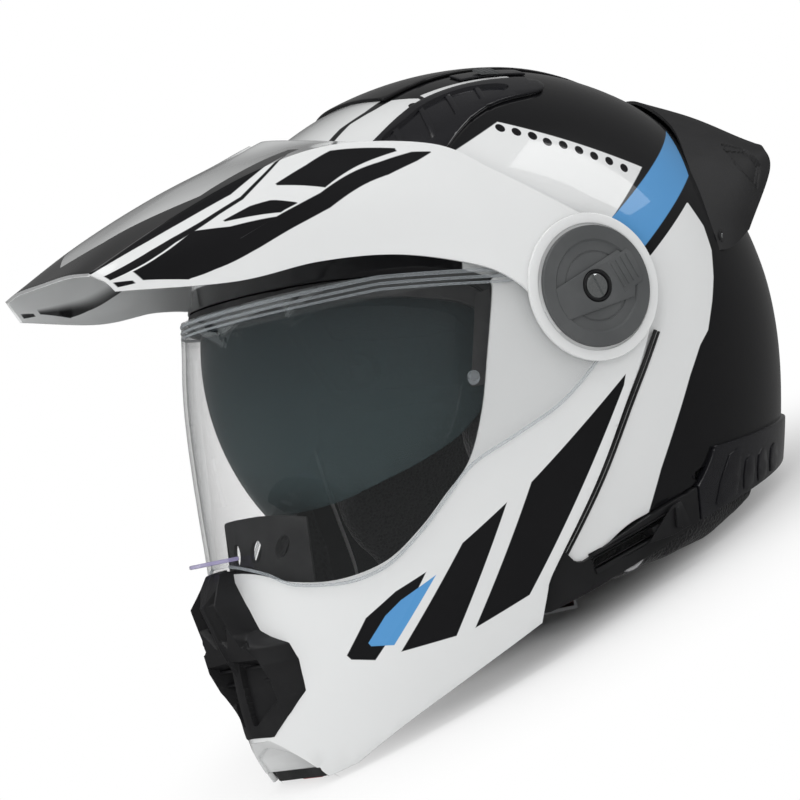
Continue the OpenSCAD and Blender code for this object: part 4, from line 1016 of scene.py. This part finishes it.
bumper_line = flowing([(50.8, -105.2), (50.8, -105.2), (57.5, -98), (61.7, -92), (64.2, -88.4),
                       (68, -87.2), (105, -83.5), (165, -74), (220, -64), (220, -64),
                       (220, -76), (220, -76), (172, -90.3), (105, -108.6), (62, -119.3),
                       (51.4, -122.4), (51.4, -122.4)], 5)
fins = [panel(shell_keys, 120.0, flowing(corners, 2), 1.2, dr=-2.9, edge=0.4)
        for corners in ([(62, -116), (74, -93), (86, -91), (83, -94), (78, -113)],
                        [(84, -111), (87, -97), (94, -96), (92, -109)],
                        [(97, -108.5), (99, -95), (106, -94), (105, -106)],
                        [(110, -105), (112, -93), (119, -92), (118, -102.5)])]
bm = joined(panel(shell_keys, 119.3, bumper_line, 5.5, dr=-2.2, edge=0.9), *fins)
gloss = Finish("gloss", Coat_Roughness=0.04)
haze = gloss.noise(14.0, 4.0)
gloss.use(Base_Color=gloss.mixed(haze.rise(0.3, 0.8), (0.008, 0.008, 0.010),
                                 (0.015, 0.015, 0.018)),
          Roughness=haze * 0.1 + 0.12, Coat_Weight=haze * 0.2 + 0.6)
gloss.bumped(gloss.noise(500.0, 2.0), 0.00002)
piece("bumper", bm, gloss, "helmet", "rear_bumper", slot="gloss_black")
corners = [(-13, -4), (8, 6.5), (14, 6.5), (14, -6.5), (2, -6.5)]
plate = prism(corners, 107.1, 108.6)
post = prism([(4.5, -3.8), (8.4, 5.2), (10.6, 4.8), (8.0, -4.8)], 108.6, 110.8)
stem = prism([(-7, -1.7), (7, -1.7), (7, 1.7), (-7, 1.7)], 98, 107.2)
knob = joined(worked(joined(plate, post), bevel(0.35)), stem)
knob.transform(Matrix.Translation((0, 8 + 17 * cos(slot_turn), -125.5 + 17 * sin(slot_turn)))
               @ Matrix.Rotation(slot_turn, 4, "X"))
piece("slider_knob", knob, satin, "visor_slider", "visor_slider", slot="trim_black")
seam = flowing([(33, -24), (33, -24), (22.5, -39), (8.6, -58.6), (-12.4, -90.5), (-36.4, -123.4),
                (-45, -135), (-48, -141), (-48, -141)], 5)
lines = [bead([on_side(shell_keys, 117.5, -0.5, q.x + shift, q.y + shift * -0.5)
               for q in up_to_lowest(seam, 1)], r, 3) for shift, r in ((3.6, 0.95), (5.6, 0.7))]
piece("seam_rubber", both(joined(*lines)), rubber, "helmet", slot="gasket")
hang = (1.6, 0.5, -0.3, -0.6, -0.2, 0.7, 2.0)
loop = [on_side(shell_keys, 116, 1, 3.0 + 2.2 * i, -137.6 + 1.05 * i) + Vector((-1.5, 0, -2.6 + h))
        for i, h in enumerate(hang)]
tape = worked(bead(loop, 1.2, 3), ("SMOOTH", {"iterations": 1}))
webbing = Finish("webbing", Specular_IOR_Level=0.3, Sheen_Weight=0.3)
weave = webbing.node("ShaderNodeTexWave", {"bands_direction": "DIAGONAL"}, webbing.place, 900.0,
                     1.0)
fuzz = webbing.noise(3000.0, 2.0)
webbing.use(Base_Color=webbing.mixed(weave * 0.7 + fuzz * 0.3, (0.014, 0.014, 0.015),
                                     (0.045, 0.045, 0.047)), Roughness=fuzz * 0.2 + 0.7)
webbing.bumped(weave, 0.0003)
loop_tape = plastic("loop_tape", 0.3, (0.42, 0.42, 0.43), (0.62, 0.62, 0.63),
                    (2400.0, 3.0), None, (0.2, 0.6), (0.0002,))
piece("pull_loop", tape, loop_tape, "helmet", slot="webbing")


# ---- Rear spoiler -------------------------------------------------------------------------
# Matte grey-black exhaust spoiler, one wing round the back of the shell with a stepped
# triangular recess on each side, held by a socket screw at each end.
fin_face = [[(98, 90.5, 9), (93.4, 91, 31), (82, 95, 57), (61, 103, 78), (30, 106, 95),
             (0, 107, 98)],
            [(96.8, 102, 9.5), (94, 114, 38), (86, 117, 56), (71, 122, 70), (32, 134, 83),
             (0, 136, 86)],
            [(92.5, 117, 17), (88, 139, 45), (85, 140, 57), (64, 149, 62), (30, 160, 69),
             (0, 163, 72)]]
fin_back = [fin_face[2],
            [(86, 118, 17), (76, 140, 42), (71, 143, 52), (55, 148, 55), (28, 155, 60),
             (0, 158, 63)],
            [(80, 114, 14), (68, 128, 30), (58, 131, 42), (46, 134, 47), (28, 141, 50),
             (0, 144, 53)]]
steps = [([(105, 68), (129, 59), (133.5, 48), (128, 37), (120, 23), (119, 40), (115, 54)], 1.0),
         ([(117, 60), (129, 58), (132.5, 48), (127, 38), (122, 46)], 1.9)]
face, back = quilt(fin_face, 2, 0, 5, 80, 150), quilt(fin_back, 2, 0, 5, 24, 150)
face.normal_update()
for v in face.verts:
    deep = max(clip01(inside_of(c, v.co.y, v.co.z) / 0.5) * d for c, d in steps)
    v.co -= v.normal * (deep if v.normal.x > 0 else -deep)
fin = joined(face, back)
fin = joined(other_side(fin), fin)
bmesh.ops.remove_doubles(fin, verts=fin.verts, dist=0.05)
bmesh.ops.recalc_face_normals(fin, faces=fin.faces)
fin.normal_update()
if sum(f.normal.z * f.calc_area() for f in fin.faces if f.calc_center_median().z > 80) < 0:
    bmesh.ops.reverse_faces(fin, faces=fin.faces)
fin = worked(fin, ("SOLIDIFY", {"thickness": 1.6, "offset": -1, "use_even_offset": False}))
matte = plastic("matte", 0.35, (0.022, 0.022, 0.023), (0.031, 0.031, 0.032),
                (1300.0, 4.0), (22.0, 4.0, 0.3, 0.7), (0.15, 0.5), (0.00012, 0.8))
piece("spoiler", fin, matte, "helmet", "rear_spoiler", slot="trim_grey", crisp=28)
seat = (Matrix.Translation((95.6, 98.6, 15.4)) @ Matrix.Rotation(radians(22), 4, "Z")
        @ Matrix.Translation((-128, 0, 0)))
cup = turned([(125, 0.01), (125, 3.9), (128.6, 3.9), (128.9, 3.5), (128.6, 3.1), (127.6, 3.0),
              (127.6, 0.01)], 48)
head = turned([(127, 0.01), (127, 2.2), (128.5, 2.2), (128.8, 1.8), (128.8, 0.01)], 48)
socket = turned([(128, 0.01), (128, 1.2), (130, 1.2), (130, 0.01)], 6)
head = carved(head, socket, "DIFFERENCE", keep_cut=True)
cup.transform(seat)
head.transform(seat)
piece("fin_cups", both(cup), black_plastic, "helmet", slot="trim_black")
piece("fin_screws", both(head), chrome, "helmet", "spoiler_screws",
      slot="steel", crisp=25)


# ---- Crown --------------------------------------------------------------------------------
# Glossy black cowl along the crown, and either side of it a vent with slats over its opening
# and a raised pad beside it.
cowl_line = flowing([(-39, -42), (-36, -46.5), (-20, -50), (0, -51), (20, -50), (36, -46.5),
                     (39, -42), (33, -5), (27, 40), (21, 98), (16, 105), (0, 109), (-16, 105),
                     (-21, 98), (-27, 40), (-33, -5)], 5)
bm = panel(shell_keys, 118.8, cowl_line, 1.7, dr=-1.8, edge=0.8, axis="Z")
cowl_paint = Finish("cowl_paint", Coat_Roughness=0.03, IOR=1.5)
lacquer(cowl_paint, black, 1.0)
piece("cowl", bm, cowl_paint, "helmet", "crown_cowl", slot="gloss_black")
vent_line = flowing([(66, -80), (66, -80), (64, -66), (61, -50), (58.5, -36), (58, -10), (60, 22),
                     (66, 30), (74, 22), (79.5, -12), (89, -43), (89, -43), (90, -52), (86, -66),
                     (86, -66)], 4)
opening = [(68, -68), (79, -60), (83, -49), (76, -22), (72, 4), (66, 8), (62.5, -10),
           (63, -35), (66, -52)]
housing = panel(shell_keys, 119.4, vent_line, 2.3, dr=-2.4, edge=0.7, axis="Z")
mouth = prism(flowing(opening, 5), 30, 200, "Z")
housing = carved(housing, mouth.copy(), "DIFFERENCE", keep_cut=True)
slats = [panel(shell_keys, 117.5, vent_line, 0.6, dr=-0.6, edge=0.1, axis="Z")]
for i in range(4):
    y = -58 + i * 17
    slats.append(panel(shell_keys, 118.6, [(60, y), (88, y - 8), (88, y - 5), (60, y + 3)], 1.2,
                       dr=-1.6, edge=0.2, axis="Z"))
slats = [carved(slat, mouth.copy(), "INTERSECT", keep_cut=True) for slat in slats]
pad = panel(shell_keys, 118.2, flowing([(38, -6), (38, -6), (49, -6), (49, -6), (49, 32),
                                        (49, 32), (38, 32), (38, 32)], 2), 1.1, dr=-1.2,
            edge=0.4, axis="Z")
louvres = joined(*slats, pad)
for s, name in ((1, "left"), (-1, "right")):
    piece("vent_" + name, joined(sided(housing, s), sided(louvres, s)), gloss, "helmet",
          "top_vent_" + name, slot="gloss_black")


# ---- Lining -------------------------------------------------------------------------------
# Padded comfort lining in black knitted cloth: neck roll, cheek pads and crown pad, each
# swelled from its solid by a short cloth simulation.
knit = Finish("knit", Specular_IOR_Level=0.25, Sheen_Weight=0.35)
loops = knit.node("ShaderNodeTexVoronoi", {}, Vector=knit.place, Scale=620.0)
fuzz = knit.noise(2400.0, 3.0)
folds = knit.noise(35.0, 3.0)
knit.use(Base_Color=knit.mixed(loops.rise(0.1, 0.6) * 0.7 + fuzz * 0.3, (0.010, 0.010, 0.011),
                               (0.034, 0.034, 0.036)), Roughness=fuzz * 0.15 + 0.78)
knit.bumped(loops * 0.6 + fuzz * 0.2 + folds * 0.6, 0.0009)


def cushion(name, node, body, shrink, cap):
    """Swells a copy of a lining part's solid into a padded piece. It starts smaller by shrink,
    and no point moves further than cap."""
    bm = bmesh.new()
    bm.from_mesh(bpy.data.objects[node].data)
    bmesh.ops.remove_doubles(bm, verts=bm.verts, dist=0.00001)
    mesh = bpy.data.meshes.new(name)
    bm.to_mesh(mesh)
    bm.free()
    obj = bpy.data.objects.new(name, mesh)
    bpy.context.scene.collection.objects.link(obj)
    bpy.context.view_layer.objects.active = obj
    remesh = obj.modifiers.new("remesh", "REMESH")
    remesh.mode, remesh.voxel_size = "VOXEL", 0.0048
    bpy.ops.object.modifier_apply(modifier="remesh")
    smooth = obj.modifiers.new("smooth", "SMOOTH")
    smooth.iterations = 6
    bpy.ops.object.modifier_apply(modifier="smooth")
    mesh = obj.data
    home = [v.co - v.normal * shrink for v in mesh.vertices]
    for v, at in zip(mesh.vertices, home):
        v.co = at
    steps = 20
    cloth = obj.modifiers.new("cloth", "CLOTH")
    cloth.settings.use_pressure = True
    cloth.settings.uniform_pressure_force = 4
    cloth.settings.effector_weights.gravity = 0
    cloth.settings.quality = 4
    cloth.point_cache.frame_end = steps
    for frame_number in range(1, steps + 1):
        bpy.context.scene.frame_set(frame_number)
    shape = obj.evaluated_get(bpy.context.evaluated_depsgraph_get()).data
    swelled = [v.co.copy() for v in shape.vertices]
    obj.modifiers.remove(cloth)
    bpy.context.scene.frame_set(1)
    for v, a, b in zip(mesh.vertices, home, swelled):
        move = b - a
        v.co = a + move * min(1, cap / max(move.length, 1e-9))
    finer = obj.modifiers.new("finer", "SUBSURF")
    finer.levels = finer.render_levels = 1
    bpy.ops.object.modifier_apply(modifier="finer")
    for v in obj.data.vertices:
        v.co.z = max(v.co.z, 0.0002)  # stays on the table
    for f in obj.data.polygons:
        f.use_smooth = True
        f.material_index = 0
    obj.data.materials.clear()
    obj.data.materials.append(knit.material)
    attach(obj, body)
    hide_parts(node)
    return obj


cushion("neck_padding", "neck_roll", "helmet", 0.0022, 0.0030)
cushion("crown_padding", "crown_pad", "helmet", 0.0016, 0.0022)
for name in ("left", "right"):
    cushion("cheek_padding_" + name, "cheek_pad_" + name, "helmet", 0.0022, 0.0035)


# ---- Hidden parts -------------------------------------------------------------------------
# Finishes for the parts that are carried over as they are: foam, steel, cables, the red buckle
# lever and small plastic. The chin bar's foam is trimmed behind the lip under the vent.
foam = Finish("bead_foam", Specular_IOR_Level=0.2)
cells = foam.node("ShaderNodeTexVoronoi", {}, Vector=foam.place, Scale=330.0)
fine = foam.noise(1500.0, 2.0)
foam.use(Base_Color=foam.mixed(cells.rise(0.1, 0.65), (0.018, 0.018, 0.019),
                               (0.032, 0.032, 0.034)), Roughness=fine * 0.15 + 0.7)
foam.bumped(cells, 0.0005)
brushed = Finish("brushed_steel", Metallic=1.0)
lines = brushed.noise(500.0, 4.0, (1, 6, 1))
brushed.use(Base_Color=brushed.mixed(lines, (0.42, 0.43, 0.45), (0.60, 0.61, 0.62)),
            Roughness=lines * 0.25 + 0.22)
brushed.bumped(lines, 0.00004)
red = plastic("red_button", 0.6, (0.50, 0.012, 0.008), (0.62, 0.03, 0.02), (1400.0, 3.0), None,
              (0.15, 0.28), (0.00005,))
sheath = plastic("sheath", 0.4, (0.018, 0.018, 0.019), (0.035, 0.035, 0.036), (1100.0, 3.0),
                 None, (0.2, 0.4), (0.0001,))
bm = bmesh.new()
bm.from_mesh(bpy.data.objects["chin_liner"].data)
bm.transform(laid.inverted())
bmesh.ops.remove_doubles(bm, verts=bm.verts, dist=0.01)
behind_lip = prism([(a + 5.4, b) for a, b in low_front], -160, 160)
bm = carved(bm, behind_lip, "DIFFERENCE", keep_cut=True)
piece("chin_foam", bm, foam, "chin_bar", "chin_liner", slot="foam")
for finish, nodes in ((foam, "impact_liner cheek_core_left cheek_core_right"),
                      (brushed, "pivot_plate_left pivot_plate_right arm_plate_left "
                       "arm_plate_right latch_hook_left latch_hook_right "
                       "latch_pins strap_rivets sun_visor_pivots button_spring buckle_body"),
                      (red, "buckle_lever"),
                      (sheath, "visor_cable latch_cables latch_strikers"),
                      (black_plastic, "chin_vent_shutter ratchet_strip"),
                      (grey_plastic, "top_shutter_left top_shutter_right"),
                      (frost, "shield_pins")):
    for node in nodes.split():
        for holder in bpy.data.objects[node].material_slots:
            holder.material = finish.material


# ---- Straps and curtain -------------------------------------------------------------------
# Two halves of the chin strap in woven webbing, and the fabric curtain across the bottom of
# the chin bar.
def ribbon(points, wide, t):
    """Strip of webbing along points in the plane x, z, its width along y."""
    bm = bmesh.new()
    rows = [[bm.verts.new((p[0], p[1] + wide * (j / 6 - 0.5), p[2])) for j in range(7)]
            for p in points]
    for a, b in zip(rows, rows[1:]):
        for j in range(6):
            bm.faces.new((a[j], a[j + 1], b[j + 1], b[j]))
    bmesh.ops.recalc_face_normals(bm, faces=bm.faces)
    return worked(bm, ("SOLIDIFY", {"thickness": t, "offset": 0}))


for s, name, stop in ((1, "left", 50), (-1, "right", 14)):
    turns = [radians(90 * i / 60) for i in range(61)]
    arc = [(s * (12 + 71.2 * sin(a)), -14, -125.5 - 19.6 * cos(a)) for a in turns
           if 12 + 71.2 * sin(a) > stop]
    obj = piece("strap_web_" + name, ribbon(arc, 21.6, 1.4), webbing, "helmet", "strap_" + name,
                slot="webbing")


rows = []
for j in range(9):
    inset = 39.7 + 26 * j / 8  # from the width of the bar's foam inwards
    row = []
    for i in range(41):
        x, y, z = (i - 20) / 20 * (74 - 0.9 * (inset - 27.7)), -150.0, -186.0
        for _ in range(6):
            y = in_front(chin_keys, 133.4 - inset, inset - 12, x, z)
            z = -159.5 + (y + 90) * 28 / 60
        row.append(Vector((x, y, z)))
    rows.append(row)
bm = bmesh.new()
grid = [[bm.verts.new(q) for q in row] for row in rows]
for a, b in zip(grid, grid[1:]):
    for i in range(40):
        bm.faces.new((a[i], a[i + 1], b[i + 1], b[i]))
bmesh.ops.recalc_face_normals(bm, faces=bm.faces)
bm = worked(bm, ("SOLIDIFY", {"thickness": 1.6, "offset": 0}))
obj = piece("curtain", bm, webbing, "chin_bar", "chin_curtain", slot="webbing")


# ---- Release button -----------------------------------------------------------------------
# Black rubber-lipped base under the chin and the red button in it, both drawn on the table's
# own axes.
at_button = Matrix.Translation((0, -137, -200)) @ upright
base = prism(flowing([(27, 6.6), (27, 6.6), (27.6, -3), (27, -8.2), (24, -9.9), (12, -10), (0, -9.8),
                      (-12, -10), (-24, -9.9), (-27, -8.2), (-27.6, -3), (-27, 6.6), (-27, 6.6)], 4),
             -6.2, 3.4, "Z")
bore = block((23.2, 12.2, 16), Matrix.Translation((0, 0, -3.5)))
base = worked(carved(base, bore, "DIFFERENCE", keep_cut=True), bevel(0.8, 3, 50))
base.transform(at_button)
piece("button_base", base, rubber, "chin_bar", "button_housing", slot="trim_black")
cap = block((22, 11, 7.6), Matrix.Translation((0, 0, -5.4)))
post = bmesh.new()
bmesh.ops.create_cone(post, cap_ends=True, segments=24, radius1=1.6, radius2=1.6, depth=4,
                      matrix=Matrix.Translation((0, 0, 0.6)))
cap = joined(worked(cap, bevel(1.6, 4, 50)), post)
cap.transform(at_button)
piece("button_cap", cap, red, "release_button", "release_button", slot="red_plastic")
